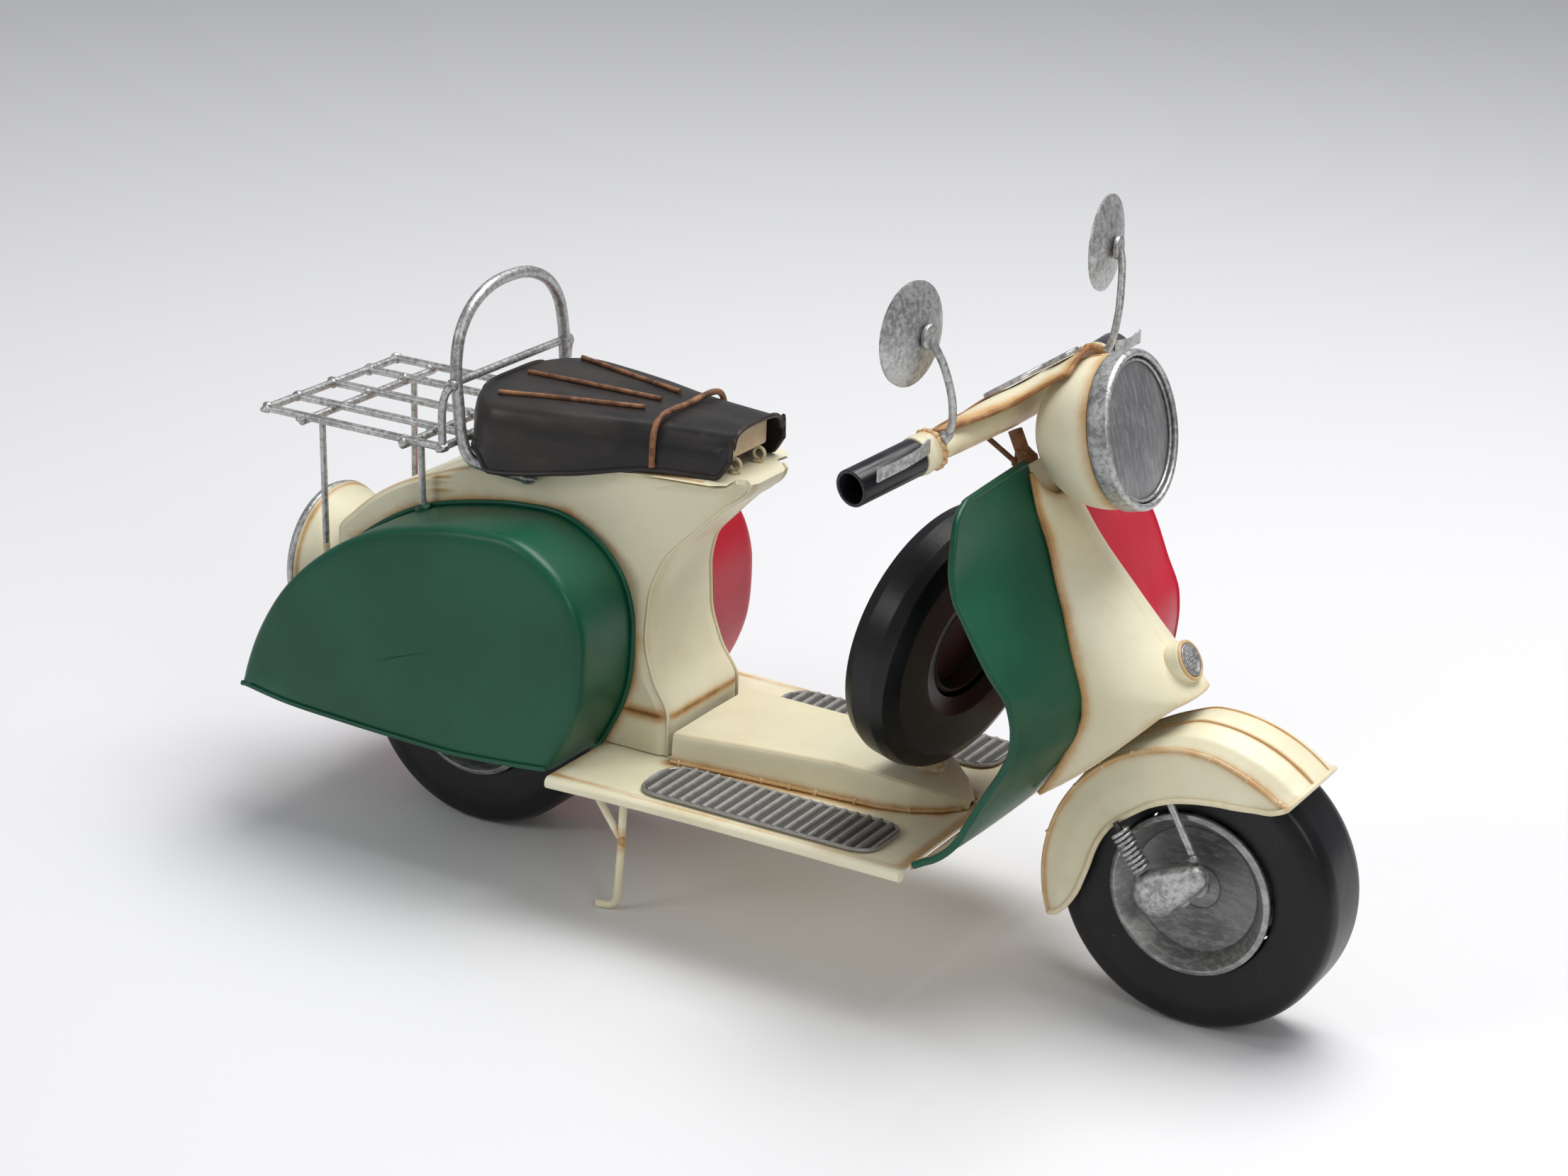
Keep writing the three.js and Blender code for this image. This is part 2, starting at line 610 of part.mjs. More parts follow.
// ---------------------------------------------------------------- spare wheel
add('spare_tyre', turned(
  tyreSection(spareLine(0), spareLine(-SHEET)), spareAxis, spareCentre, 30,
), 'tyre');
add('spare_rim', turned([
  [0, -6], [20, -6], [24.6, -9], [24.6, 9], [22, 10], [19, 3], [0, 3],
], spareAxis, spareCentre, 24), 'tyre');

// ---------------------------------------------------------------- seat
// Half-width of the seat top and height of the skirt hem along its length.
const SEAT_HALF_WIDTH = [[11.4, 26], [13, 32], [16, 37], [22, 42], [30, 45], [50, 42], [72, 37], [105, 27],
  [143, 20]];
const SEAT_HEM = [[11.4, 201], [22, 200], [29, 193.5], [68, 198], [109, 204.4], [136, 204.6], [143, 213]];
function seatShell() {
  const stations = [11.4, 13, 16, 22, 29, 40, 55, 72, 90, 105, 120, 132, 140, 143];
  const grid = stations.map((x) => {
    const side = lookUp(SEAT_HALF_WIDTH, x);
    const hem = lookUp(SEAT_HEM, x);
    const half = [
      [side + 3, hem], [side + 2.4, hem + 10], [side + 1.4, SEAT_TOP - 8], [side - 1.5, SEAT_TOP - 2.4],
      [side - 7, SEAT_TOP - 0.4],
    ];
    return [
      ...half.map(([y, z]) => point(x, -y, z)),
      point(x, 0, SEAT_TOP),
      ...half.map(([y, z]) => point(x, y, z)).reverse(),
    ];
  });
  return sheet(grid, SHEET);
}
add('seat', seatShell(), 'seat');

// Wire strap across the seat, just clear of its top and skirts.
function seatStrap() {
  const x = 107;
  const side = lookUp(SEAT_HALF_WIDTH, x) + 4.4;
  const half = [[side, 212], [side - 0.8, 220], [side - 3.4, 225.4], [side - 9, SEAT_TOP + 2.3]];
  return rod([
    ...half.map(([y, z]) => point(x, -y, z)),
    point(x, 0, SEAT_TOP + 2.4),
    ...half.map(([y, z]) => point(x, y, z)).reverse(),
  ], 1.5, { sides: 6, steps: 16 });
}
add('seat_strap', seatStrap(), 'rust');

// Plate under the front of the seat, standing on the two hinge rings.
const platePoints = [[137.3, SEAT_HINGE.z + 4], [138.7, SEAT_HINGE.z + 4], [138.7, 223], [137.3, 223]];
add('seat_hinge_plate', slab(platePoints, -15, 15), 'cream');
for (const [side, sign] of SIDES) {
  const eye = turned(
    [[2.1, -1.2], [3.6, -1.2], [3.6, 1.2], [2.1, 1.2]],
    ALONG_Y, point(SEAT_HINGE.x, sign * 10.3, SEAT_HINGE.z), 14,
  );
  add(`seat_hinge_eye_${side}`, eye, 'cream');
}

// ---------------------------------------------------------------- rack and grab loop
function rack() {
  const rear = -95;
  const front = 6.4;
  const edge = 50.5;
  const along = [-edge, -27.6, 0, 27.6, edge].map((y) => (
    bar(point(rear, y, RACK_Z), point(front, y, RACK_Z), RACK_ROD_RADIUS, 8)
  ));
  const across = [[rear, 0], [front, 0], [-74, -2.6], [-15, -2.6]].map(([x, drop]) => (
    bar(point(x, -edge - 1, RACK_Z + drop), point(x, edge + 1, RACK_Z + drop), RACK_ROD_RADIUS, 8)
  ));
  const risers = SIDES.map(([, sign]) => rod([
    point(front, sign * edge, RACK_Z - 1), point(front, sign * edge, 219), point(7.6, sign * 49.8, 226),
    point(9.4, sign * 48.4, 229.6),
  ], RACK_ROD_RADIUS, { steps: 6 }));
  return join(...along, ...across, ...risers);
}
add('luggage_rack', rack(), 'silver');

const postTop = RACK_Z - 2.6 - RACK_ROD_RADIUS - GAP;
for (const [side, sign] of SIDES) {
  const rearPost = bar(point(-74, sign * 36, postTop), point(-73.3, sign * 35.2, 121.6), 1.6, 8);
  const frontPost = bar(point(-15, sign * 38, postTop), point(-14, sign * 38, 164.6), 1.6, 8);
  add(`rack_post_rear_${side}`, rearPost, 'silver');
  add(`rack_post_front_${side}`, frontPost, 'silver');
}

// Loop behind the seat: two legs that curve forward to the body, and a tall arch.
const LOOP_HALF_WIDTH = 43;
function grabLoop() {
  const leg = [
    [46, 35.4, 189.6], [33, 37.4, 191], [24, 41.5, 193.2], [16.5, LOOP_HALF_WIDTH, 195.5], [12, LOOP_HALF_WIDTH, 204],
    [10, LOOP_HALF_WIDTH, 220], [8.8, LOOP_HALF_WIDTH, 238], [8.4, 39.5, 252], [8.2, 31, 262.4],
    [8, 17, 269.2],
  ];
  return rod([
    ...leg.map(([x, y, z]) => point(x, -y, z)),
    point(8, 0, 271.2),
    ...leg.map(([x, y, z]) => point(x, y, z)).reverse(),
  ], 2.8, { steps: 26 });
}
add('grab_loop', grabLoop(), 'silver');
const crossbarZ = 230.3;
const crossbarReach = LOOP_HALF_WIDTH - 3.3;
add('grab_loop_crossbar', bar(
  point(8.4, -crossbarReach, crossbarZ), point(8.4, crossbarReach, crossbarZ), 1.9, 8,
), 'silver');

// ---------------------------------------------------------------- front fender and suspension
// In polar form about the front axle: radius of the crown, the side crease and the side hem.
const FENDER_START = 51;
const FENDER_END = 200;
const CROWN_RADIUS = [[51, 75.5], [66, 76], [81, 76.2], [92, 76], [104, 73], [118, 70.8], [129, 70.3],
  [145, 69.3], [170, 68.4], [200, 68]];
const CREASE_RADIUS = [[51, 67], [56, 64.8], [69, 64.9], [87, 66.2], [103, 66.4], [118, 66.6], [140, 66.4],
  [165, 66.4], [180, 66.6], [200, 66.8]];
const HEM_RADIUS = [[51, 65.8], [54, 60], [58, 56.6], [65, 52.5], [73, 49.7], [84, 46.8], [96, 45],
  [111, 44], [128, 43], [145, 44], [170, 44.5], [186, 48], [197, 56], [200, 62]];
function fender() {
  const angles = [51, 54, 58, 65, 73, 82, 92, 104, 118, 132, 146, 160, 173, 186, 194, 200];
  const grid = angles.map((degrees) => {
    const angle = THREE.MathUtils.degToRad(degrees);
    const crown = lookUp(CROWN_RADIUS, degrees);
    const crease = lookUp(CREASE_RADIUS, degrees);
    const hem = Math.min(lookUp(HEM_RADIUS, degrees), crease - 1.2);
    const creaseY = degrees < 104 ? 24 : 25.4;
    const hemY = creaseY + (degrees < 66 ? 0.6 : 2.6);
    const half = [
      [hemY, hem], [hemY - 0.6, (hem + crease) / 2], [creaseY, crease],
      [19, crease + (crown - crease) * 0.55], [8.6, crown - 0.6],
    ];
    const place = ([y, radius]) => point(
      WHEELBASE + radius * Math.cos(angle), y, WHEEL_RADIUS + radius * Math.sin(angle),
    );
    return [
      ...half.map(([y, radius]) => place([-y, radius])),
      place([0, crown]),
      ...half.map(place).reverse(),
    ];
  });
  return sheet(grid, -SHEET + 0.2);
}
add('front_fender', fender(), 'cream');

// Trailing link cover, spring and strut, all on the right of the wheel.
const SUSPENSION_Y = 31;
const LINK_FRONT = { x: 380, z: 77 };
const LINK_REAR = { x: 364, z: 65.5 };
function linkCover() {
  const outline = [];
  const addArc = (centre, radius, from, to, count) => {
    for (let i = 0; i <= count; i += 1) {
      const angle = THREE.MathUtils.degToRad(from + (to - from) * i / count);
      outline.push([centre.x + radius * Math.cos(angle), centre.z + radius * Math.sin(angle)]);
    }
  };
  addArc(LINK_FRONT, 6.4, -40, 110, 6);
  addArc(LINK_REAR, 10.4, 120, 320, 8);
  const ring = (y, distance) => inset(outline, distance).map(([x, z]) => point(x, -y, z));
  return loft([ring(27.6, 0), ring(31.5, 0), ring(34, 1.6), ring(35.4, 4.2)]);
}
function strut() {
  return bar(point(364.6, -24.6, 105.8), point(380, -30.2, 85.4), 1.7, 8);
}
function spring() {
  return bar(point(345.4, -SUSPENSION_Y, 90.4), point(357, -SUSPENSION_Y, 74.8), 4.7, 12);
}
add('suspension_link_right', linkCover(), 'silver');
add('suspension_spring_right', spring(), 'silver');
add('suspension_strut_right', strut(), 'silver');

// ---------------------------------------------------------------- headlamp
const lampAxis = point(Math.cos(LAMP_TILT), 0, Math.sin(LAMP_TILT));
const lampFront = point(LAMP_CENTRE.x, 0, LAMP_CENTRE.z);
// Quarter of the bowl's round back, from its pole to its mouth, grown outward by a margin.
function bowlArc(margin) {
  const steps = 5;
  return Array.from({ length: steps + 1 }, (_, i) => {
    const angle = (Math.PI / 2) * i / steps;
    return [(32.8 + margin) * Math.sin(angle), -14.6 - (32.4 + margin) * Math.cos(angle)];
  });
}
function headlampBowl() {
  const profile = [...bowlArc(0), [32.8, -10.4], [31, -10.4], ...bowlArc(-1.8).reverse()];
  return turned(profile, lampAxis, lampFront, 28);
}
add('headlamp_bowl', headlampBowl(), 'cream');
add('headlamp_bezel', turned([
  [31.4, -10], [33.4, -10], [LAMP_RADIUS, -8.5], [LAMP_RADIUS, -1.5], [LAMP_RADIUS - 1.5, 0],
  [LAMP_RADIUS - 3.2, -0.8], [31.2, -4],
], lampAxis, lampFront, 28), 'silver');
add('headlamp_lens', turned(
  [[0, -7], [30.6, -6.6], [30.2, -3.4], [16, -1.9], [0, -1.4]], lampAxis, lampFront, 28,
), 'lens');

// ---------------------------------------------------------------- handlebar
const BAR_RADIUS = 6;
const BAR_CENTRE = point(268.5, 0, 254);
const COLLAR = point(268, 82, 256.6);
const GRIP_END = point(258.5, 121.5, 251);
const toRight = (p) => point(p.x, -p.y, p.z);
const gripAxis = GRIP_END.clone().sub(COLLAR).normalize();

function handlebar() {
  const tube = rod([
    toRight(COLLAR), point(268.6, -45, 255.4), BAR_CENTRE, point(268.6, 45, 255.4), COLLAR,
  ], BAR_RADIUS, { sides: 12, steps: 8 });
  const collar = (end, axis) => bar(
    end.clone().addScaledVector(axis, -7), end.clone().addScaledVector(axis, 3), 8.6, 16,
  );
  return join(tube, collar(COLLAR, gripAxis), collar(toRight(COLLAR), toRight(gripAxis)));
}
add('handlebar', handlebar(), 'cream');

function grip() {
  const length = COLLAR.distanceTo(GRIP_END);
  return turned([
    [0, 3.5], [8, 3.5], [8, length], [6.4, length], [6.4, length - 22], [0, length - 22],
  ], gripAxis, COLLAR, 18);
}
add('grip_left', grip(), 'grip');
add('grip_right', mirrored(grip()), 'grip');

// Flat strip of a brake lever, up and forward of each grip.
function lever() {
  const route = [[275.6, 87.5, 263.2], [276.4, 96, 262.6], [274.6, 107, 260.8], [271, 118, 258.8],
    [271.4, 122, 259.6]];
  const corners = [[-0.6, -2.8], [0.6, -2.8], [0.6, 2.8], [-0.6, 2.8]];
  return loft(route.map(([x, y, z]) => corners.map(([dx, dz]) => point(x + dx, y, z + dz))));
}
add('brake_lever_left', lever(), 'silver');
add('brake_lever_right', mirrored(lever()), 'silver');

// Pressed cover over the bar, rising from behind the bar to the top of the headlamp bowl.
const SLOPE_REAR = point(256, 0, 257.4);
const SLOPE_FRONT = point(302, 0, 288.4);
// Half-width of the cover and height of its side edge along the slope.
const HEADSET_HALF_WIDTH = [[0, 22], [0.12, 45], [0.26, 70], [0.42, 50], [0.6, 33], [0.8, 24], [1, 17]];
const HEADSET_EDGE_Z = [[0, 256], [0.12, 260], [0.26, 263.4], [0.42, 264.4], [0.6, 268], [0.8, 275],
  [1, 281.5]];
function headsetCover() {
  const grid = HEADSET_HALF_WIDTH.map(([share, side]) => {
    const middle = SLOPE_REAR.clone().lerp(SLOPE_FRONT, share);
    const drop = middle.z - lookUp(HEADSET_EDGE_Z, share);
    return [-1, -0.85, -0.6, -0.3, 0, 0.3, 0.6, 0.85, 1].map((across) => (
      point(middle.x, side * across, middle.z - drop * Math.abs(across) ** 1.7)
    ));
  });
  const bowlRoom = turned(
    [...bowlArc(0.5), [LAMP_RADIUS + 0.5, -11], [LAMP_RADIUS + 0.5, 2], [0, 2]], lampAxis, lampFront, 28,
  );
  const barRoom = rod([
    point(268.2, -90, 256.9), point(268.6, -45, 255.4), BAR_CENTRE, point(268.6, 45, 255.4),
    point(268.2, 90, 256.9),
  ], BAR_RADIUS + GAP, { sides: 12, steps: 8 });
  return cut(sheet(grid, SHEET), bowlRoom, barRoom);
}
add('headset_cover', headsetCover(), 'cream');

// Two dial rims lying on the slope of the cover.
const slope = SLOPE_FRONT.clone().sub(SLOPE_REAR).normalize();
const slopeNormal = point(-slope.z, 0, slope.x);
for (const [name, along, radius] of [['gauge_large', 17.5, 15.6], ['gauge_small', 42.5, 7.8]]) {
  const seat = SLOPE_REAR.clone().addScaledVector(slope, along).addScaledVector(slopeNormal, GAP + 0.2);
  add(name, turned(
    [[0, 0], [radius, 0], [radius, 1.8], [radius - 1.4, 2.2], [radius - 2.4, 1.2], [0, 1.2]],
    slopeNormal, seat, 20,
  ), 'silver');
}

// Steering column with its rough brazed knot, and the bracing wire beside it.
function column() {
  const shaft = bar(columnAt(COLUMN_TOP.z - 0.6), columnAt(119.8), COLUMN_RADIUS, 12);
  const knot = new THREE.IcosahedronGeometry(KNOT_RADIUS, 1);
  const place = columnAt(233.5);
  knot.translate(place.x, 0, place.z);
  const wire = bar(point(261.5, -14, 247.2), point(274, -3, 232.5), 1.2, 8);
  return join(shaft, knot, wire);
}
add('steering_column', column(), 'rust');

// ---------------------------------------------------------------- mirrors
const MIRROR_CENTRE = point(266, 90, 309);
const mirrorAxis = point(Math.cos(0.1), Math.sin(0.1), 0);
const mirrorDish = [];
for (let i = 0; i <= 4; i += 1) {
  const radius = MIRROR_RADIUS * (1 - i / 4);
  mirrorDish.push([radius, 5.2 - 4.6 * (radius / MIRROR_RADIUS) ** 2]);
}
const mirrorBack = turned([[0, -0.8], [MIRROR_RADIUS, -0.8], ...mirrorDish], mirrorAxis, MIRROR_CENTRE, 24);
add('mirror_left', mirrorBack, 'silver');
add('mirror_right', mirrored(mirrorBack), 'silver');

function mirrorStem() {
  const stem = rod([
    point(275, 75, 262.5), point(278, 75, 268), point(279.4, 77.6, 280), point(277.6, 83, 296),
    point(275, 87, 305), point(273.4, 87.6, 308.6),
  ], 1.7, { sides: 6, steps: 10 });
  const pad = bar(point(272.4, 87.4, 308.4), point(274.4, 87.6, 308.4), 5.4, 12);
  return join(stem, pad);
}
add('mirror_stem_left', mirrorStem(), 'silver');
add('mirror_stem_right', mirrored(mirrorStem()), 'silver');

export default scooter;
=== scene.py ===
"""Looks of the hand-made tin scooter: sheet-metal shells with wire beads, brazed joints and rust washes.

Points are in millimetres, +X forward from the rear axle, +Y to the rider's left, +Z up.
metres() moves them into the frame.
"""

import math

import bpy
import numpy as np
from mathutils import Matrix, Vector


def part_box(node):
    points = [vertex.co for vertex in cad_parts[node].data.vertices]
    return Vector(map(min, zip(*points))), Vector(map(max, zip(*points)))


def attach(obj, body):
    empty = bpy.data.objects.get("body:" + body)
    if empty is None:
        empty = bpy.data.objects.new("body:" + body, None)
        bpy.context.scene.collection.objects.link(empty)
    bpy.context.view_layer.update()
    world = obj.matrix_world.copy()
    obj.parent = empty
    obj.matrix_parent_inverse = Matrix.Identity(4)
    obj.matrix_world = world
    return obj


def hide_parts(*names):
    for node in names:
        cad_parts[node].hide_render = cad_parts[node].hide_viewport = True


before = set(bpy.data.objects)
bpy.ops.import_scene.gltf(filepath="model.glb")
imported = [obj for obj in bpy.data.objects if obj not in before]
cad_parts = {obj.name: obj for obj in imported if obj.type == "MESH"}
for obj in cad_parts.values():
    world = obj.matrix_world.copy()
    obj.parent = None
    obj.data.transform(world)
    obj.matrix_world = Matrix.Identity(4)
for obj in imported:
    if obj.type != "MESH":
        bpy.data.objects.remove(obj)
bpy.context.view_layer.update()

MM = 0.001
rear_low, rear_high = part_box("rear_tyre")
REAR_AXLE_X = (rear_low.x + rear_high.x) / 2
front_low, front_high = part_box("front_tyre")
WHEELBASE = ((front_low.x + front_high.x) / 2 - REAR_AXLE_X) / MM
WHEEL_RADIUS = (rear_high.z - rear_low.z) / 2 / MM


def metres(points):
    """Millimetres measured from the rear axle, as metres in the frame."""
    moved = np.array(points, float) * MM
    moved[..., 0] += REAR_AXLE_X
    return moved


# ---------------------------------------------------------------- camera, light and floor
def unit(vector):
    vector = np.array(vector, float)
    return vector / np.linalg.norm(vector)


# Angles in degrees, target in millimetres, distance in metres, lens and sensor in millimetres.
CAMERA_AZIMUTH, CAMERA_ELEVATION, CAMERA_ROLL = 30.035, 20.460, 1.881
CAMERA_TARGET = [159.23, 0, 150.30]
CAMERA_DISTANCE = 1.50108
FOCAL_LENGTH, SENSOR_WIDTH = 76.31, 36
STUDIO_FLOOR_HALF = 6.0


def add_camera():
    azimuth, elevation, roll = map(math.radians, (CAMERA_AZIMUTH, CAMERA_ELEVATION, CAMERA_ROLL))
    target = metres(CAMERA_TARGET)
    back = np.array([
        math.sin(azimuth) * math.cos(elevation),
        -math.cos(azimuth) * math.cos(elevation),
        math.sin(elevation),
    ])
    level = np.array([math.cos(azimuth), math.sin(azimuth), 0])
    up = np.cross(back, level)
    right = level * math.cos(roll) + up * math.sin(roll)
    up = up * math.cos(roll) - level * math.sin(roll)
    data = bpy.data.cameras.new("camera")
    data.lens = FOCAL_LENGTH
    data.sensor_width = SENSOR_WIDTH
    camera = bpy.data.objects.new("camera", data)
    turn = Matrix([right, up, back]).transposed().to_4x4()
    camera.matrix_world = Matrix.Translation(Vector(target + back * CAMERA_DISTANCE)) @ turn
    bpy.context.scene.collection.objects.link(camera)
    bpy.context.scene.camera = camera


def add_light(name, place, aim, size, power, color=(1, 1, 1)):
    data = bpy.data.lights.new(name, "AREA")
    data.shape = "RECTANGLE"
    data.size, data.size_y = size
    data.energy = power
    data.color = color
    light = bpy.data.objects.new(name, data)
    light.location = place
    light.rotation_euler = (Vector(aim) - Vector(place)).to_track_quat("-Z", "Y").to_euler()
    bpy.context.scene.collection.objects.link(light)


def add_studio():
    world = bpy.data.worlds.new("studio")
    bpy.context.scene.world = world
    world.use_nodes = True
    sky = world.node_tree.nodes["Background"]
    sky.inputs["Color"].default_value = (0.93, 0.95, 1.0, 1)
    sky.inputs["Strength"].default_value = 0.30
    add_light("overhead", (0.3, 0.5, 2.1), (0, 0, 0.1), (1.7, 1.3), 50)
    add_light("front_left", (-1.4, -2.1, 1.5), (-0.1, 0, 0.12), (0.9, 0.8), 12)
    add_light("front_right", (1.9, -1.3, 1.3), (0.1, 0, 0.12), (0.8, 0.8), 10, (1, 0.98, 0.95))
    bpy.context.scene.view_settings.view_transform = "Standard"
    half = STUDIO_FLOOR_HALF
    mesh = bpy.data.meshes.new("floor")
    mesh.from_pydata(
        [(-half, -half, 0), (half, -half, 0), (half, half, 0), (-half, half, 0)], [], [(0, 1, 2, 3)],
    )
    floor = bpy.data.objects.new("floor", mesh)
    bpy.context.scene.collection.objects.link(floor)
    material = bpy.data.materials.new("studio_paper")
    material.use_nodes = True
    shader = material.node_tree.nodes["Principled BSDF"]
    shader.inputs["Base Color"].default_value = (0.77, 0.77, 0.78, 1)
    shader.inputs["Roughness"].default_value = 0.6
    mesh.materials.append(material)


add_camera()
add_studio()


# ---------------------------------------------------------------- shape helpers
X_AXIS, Y_AXIS, Z_AXIS = np.eye(3)


def full_turn(count, closed=False):
    """Angles of a whole circle; a closed one repeats its first point at the end."""
    return np.linspace(0, 2 * math.pi, count, endpoint=closed)


def circle(centre, first, second, radius, angles):
    """Points round a centre, in the plane of two directions at right angles."""
    angles = np.asarray(angles, float)[:, None]
    return np.array(centre, float) + radius * (np.cos(angles) * first + np.sin(angles) * second)


def set_at(outline, y):
    """An outline of [x, z] rows stood up at one Y."""
    return np.stack([outline[:, 0], np.full(len(outline), y), outline[:, 1]], 1)


def along(table, keys):
    """Smooth monotone curve through a table of [key, value] rows."""
    key, value = np.array(table, float).T
    gap = np.diff(key)
    slope = np.diff(value) / gap
    tangent = np.zeros_like(value)
    tangent[0], tangent[-1] = slope[0], slope[-1]
    same = slope[:-1] * slope[1:] > 0
    before = np.where(same, slope[:-1], 1)
    after = np.where(same, slope[1:], 1)
    w1 = 2 * gap[1:] + gap[:-1]
    w2 = gap[1:] + 2 * gap[:-1]
    tangent[1:-1] = np.where(same, (w1 + w2) / (w1 / before + w2 / after), 0)
    keys = np.clip(np.asarray(keys, float), key[0], key[-1])
    i = np.clip(np.searchsorted(key, keys, side="right") - 1, 0, len(key) - 2)
    t = (keys - key[i]) / gap[i]
    return (
        (1 + 2 * t) * (1 - t) ** 2 * value[i] + t * (1 - t) ** 2 * gap[i] * tangent[i]
        + t * t * (3 - 2 * t) * value[i + 1] + t * t * (t - 1) * gap[i] * tangent[i + 1]
    )


def spline(points, per_span=8):
    """Centripetal Catmull-Rom curve through a row of points."""
    points = np.array(points, float)
    padded = np.vstack([2 * points[0] - points[1], points, 2 * points[-1] - points[-2]])
    rows = []
    for p0, p1, p2, p3 in zip(padded, padded[1:], padded[2:], padded[3:]):
        t1 = math.sqrt(max(np.linalg.norm(p1 - p0), 1e-6))
        t2 = t1 + math.sqrt(max(np.linalg.norm(p2 - p1), 1e-6))
        t3 = t2 + math.sqrt(max(np.linalg.norm(p3 - p2), 1e-6))
        t = np.linspace(t1, t2, per_span, endpoint=False)[:, None]
        a1 = (t1 - t) / t1 * p0 + t / t1 * p1
        a2 = (t2 - t) / (t2 - t1) * p1 + (t - t1) / (t2 - t1) * p2
        a3 = (t3 - t) / (t3 - t2) * p2 + (t - t2) / (t3 - t2) * p3
        b1 = (t2 - t) / t2 * a1 + t / t2 * a2
        b2 = (t3 - t) / (t3 - t1) * a2 + (t - t1) / (t3 - t1) * a3
        rows.append((t2 - t) / (t2 - t1) * b1 + (t - t1) / (t2 - t1) * b2)
    rows.append(points[-1:])
    return np.vstack(rows)


def evenly(points, step, closed=False):
    """The same line with a point about every step."""
    points = np.array(points, float)
    if closed:
        points = np.vstack([points, points[:1]])
    run = np.concatenate([[0], np.cumsum(np.linalg.norm(np.diff(points, axis=0), axis=1))])
    count = max(int(round(run[-1] / step)), 3)
    places = np.linspace(0, run[-1], count + 1)
    if closed:
        places = places[:-1]
    return np.stack([np.interp(places, run, column) for column in points.T], 1)


def rounded(profile, radius, steps=4, closed=True):
    """A polygon with its corners turned into short curves."""
    profile = np.array(profile, float)
    count = len(profile)
    out = []
    for i, corner in enumerate(profile):
        if not closed and i in (0, count - 1):
            out.append(corner[None])
            continue
        before, after = profile[i - 1], profile[(i + 1) % count]
        to_before, to_after = before - corner, after - corner
        reach = min(radius, 0.45 * np.linalg.norm(to_before), 0.45 * np.linalg.norm(to_after))
        start = corner + unit(to_before) * reach
        end = corner + unit(to_after) * reach
        t = np.linspace(0, 1, steps + 1)[:, None]
        out.append((1 - t) ** 2 * start + 2 * t * (1 - t) * corner + t * t * end)
    return np.vstack(out)


def mirrored(points):
    return np.array(points, float) * [1, -1, 1]


def skin(grid, wrap_rows=False, wrap_columns=False):
    """Vertices and quads of a grid of points."""
    rows, columns = grid.shape[:2]
    faces = []
    for i in range(rows if wrap_rows else rows - 1):
        for j in range(columns if wrap_columns else columns - 1):
            a = i * columns + j
            b = i * columns + (j + 1) % columns
            c = (i + 1) % rows * columns + (j + 1) % columns
            d = (i + 1) % rows * columns + j
            faces.append((a, b, c, d))
    return grid.reshape(-1, 3), faces


def sheet(grid, thickness):
    """Closed thin sheet: the grid and the same grid moved along its normals."""
    grid = np.array(grid, float)
    across = np.gradient(grid, axis=1)
    down = np.gradient(grid, axis=0)
    normal = np.cross(across, down)
    normal /= np.maximum(np.linalg.norm(normal, axis=2, keepdims=True), 1e-9)
    back = grid + normal * thickness
    rows, columns = grid.shape[:2]
    verts, faces = skin(grid)
    far = rows * columns
    faces = [f[::-1] for f in faces]
    faces += [tuple(far + i for i in f[::-1]) for f in faces]
    for j in range(columns - 1):
        faces.append((j, j + 1, far + j + 1, far + j))
        last = (rows - 1) * columns + j
        faces.append((last + 1, last, far + last, far + last + 1))
    for i in range(rows - 1):
        a, b = i * columns, (i + 1) * columns
        faces.append((b, a, far + a, far + b))
        a, b = a + columns - 1, b + columns - 1
        faces.append((a, b, far + b, far + a))
    return np.vstack([verts, back.reshape(-1, 3)]), faces


def tube(path, radius, sides=12, closed=False, wobble=0.0):
    """Round rod along a path; wobble makes it look drawn and filed by hand."""
    path = np.array(path, float)
    count = len(path)
    tangent = np.gradient(path, axis=0)
    if closed:
        tangent = np.roll(path, -1, axis=0) - np.roll(path, 1, axis=0)
    tangent /= np.maximum(np.linalg.norm(tangent, axis=1, keepdims=True), 1e-9)
    start = np.cross(tangent[0], [0.31, 0.17, 0.93])
    normals = [unit(start)]
    for i in range(1, count):
        carried = normals[-1] - tangent[i] * np.dot(normals[-1], tangent[i])
        normals.append(unit(carried))
    normals = np.array(normals)
    binormals = np.cross(tangent, normals)
    run = np.concatenate([[0], np.cumsum(np.linalg.norm(np.diff(path, axis=0), axis=1))])
    radii = np.broadcast_to(np.asarray(radius, float), (count,))
    radii = radii * (1 + wobble * np.sin(run * 0.7) * np.sin(run * 0.23 + 1.3))
    angle = full_turn(sides)
    rings = (
        path[:, None]
        + radii[:, None, None] * np.cos(angle)[None, :, None] * normals[:, None]
        + radii[:, None, None] * np.sin(angle)[None, :, None] * binormals[:, None]
    )
    verts, faces = skin(rings, wrap_rows=closed, wrap_columns=True)
    faces = [f[::-1] for f in faces]
    if not closed:
        faces.append(tuple(range(sides)))
        faces.append(tuple((count - 1) * sides + j for j in reversed(range(sides))))
    return verts, faces


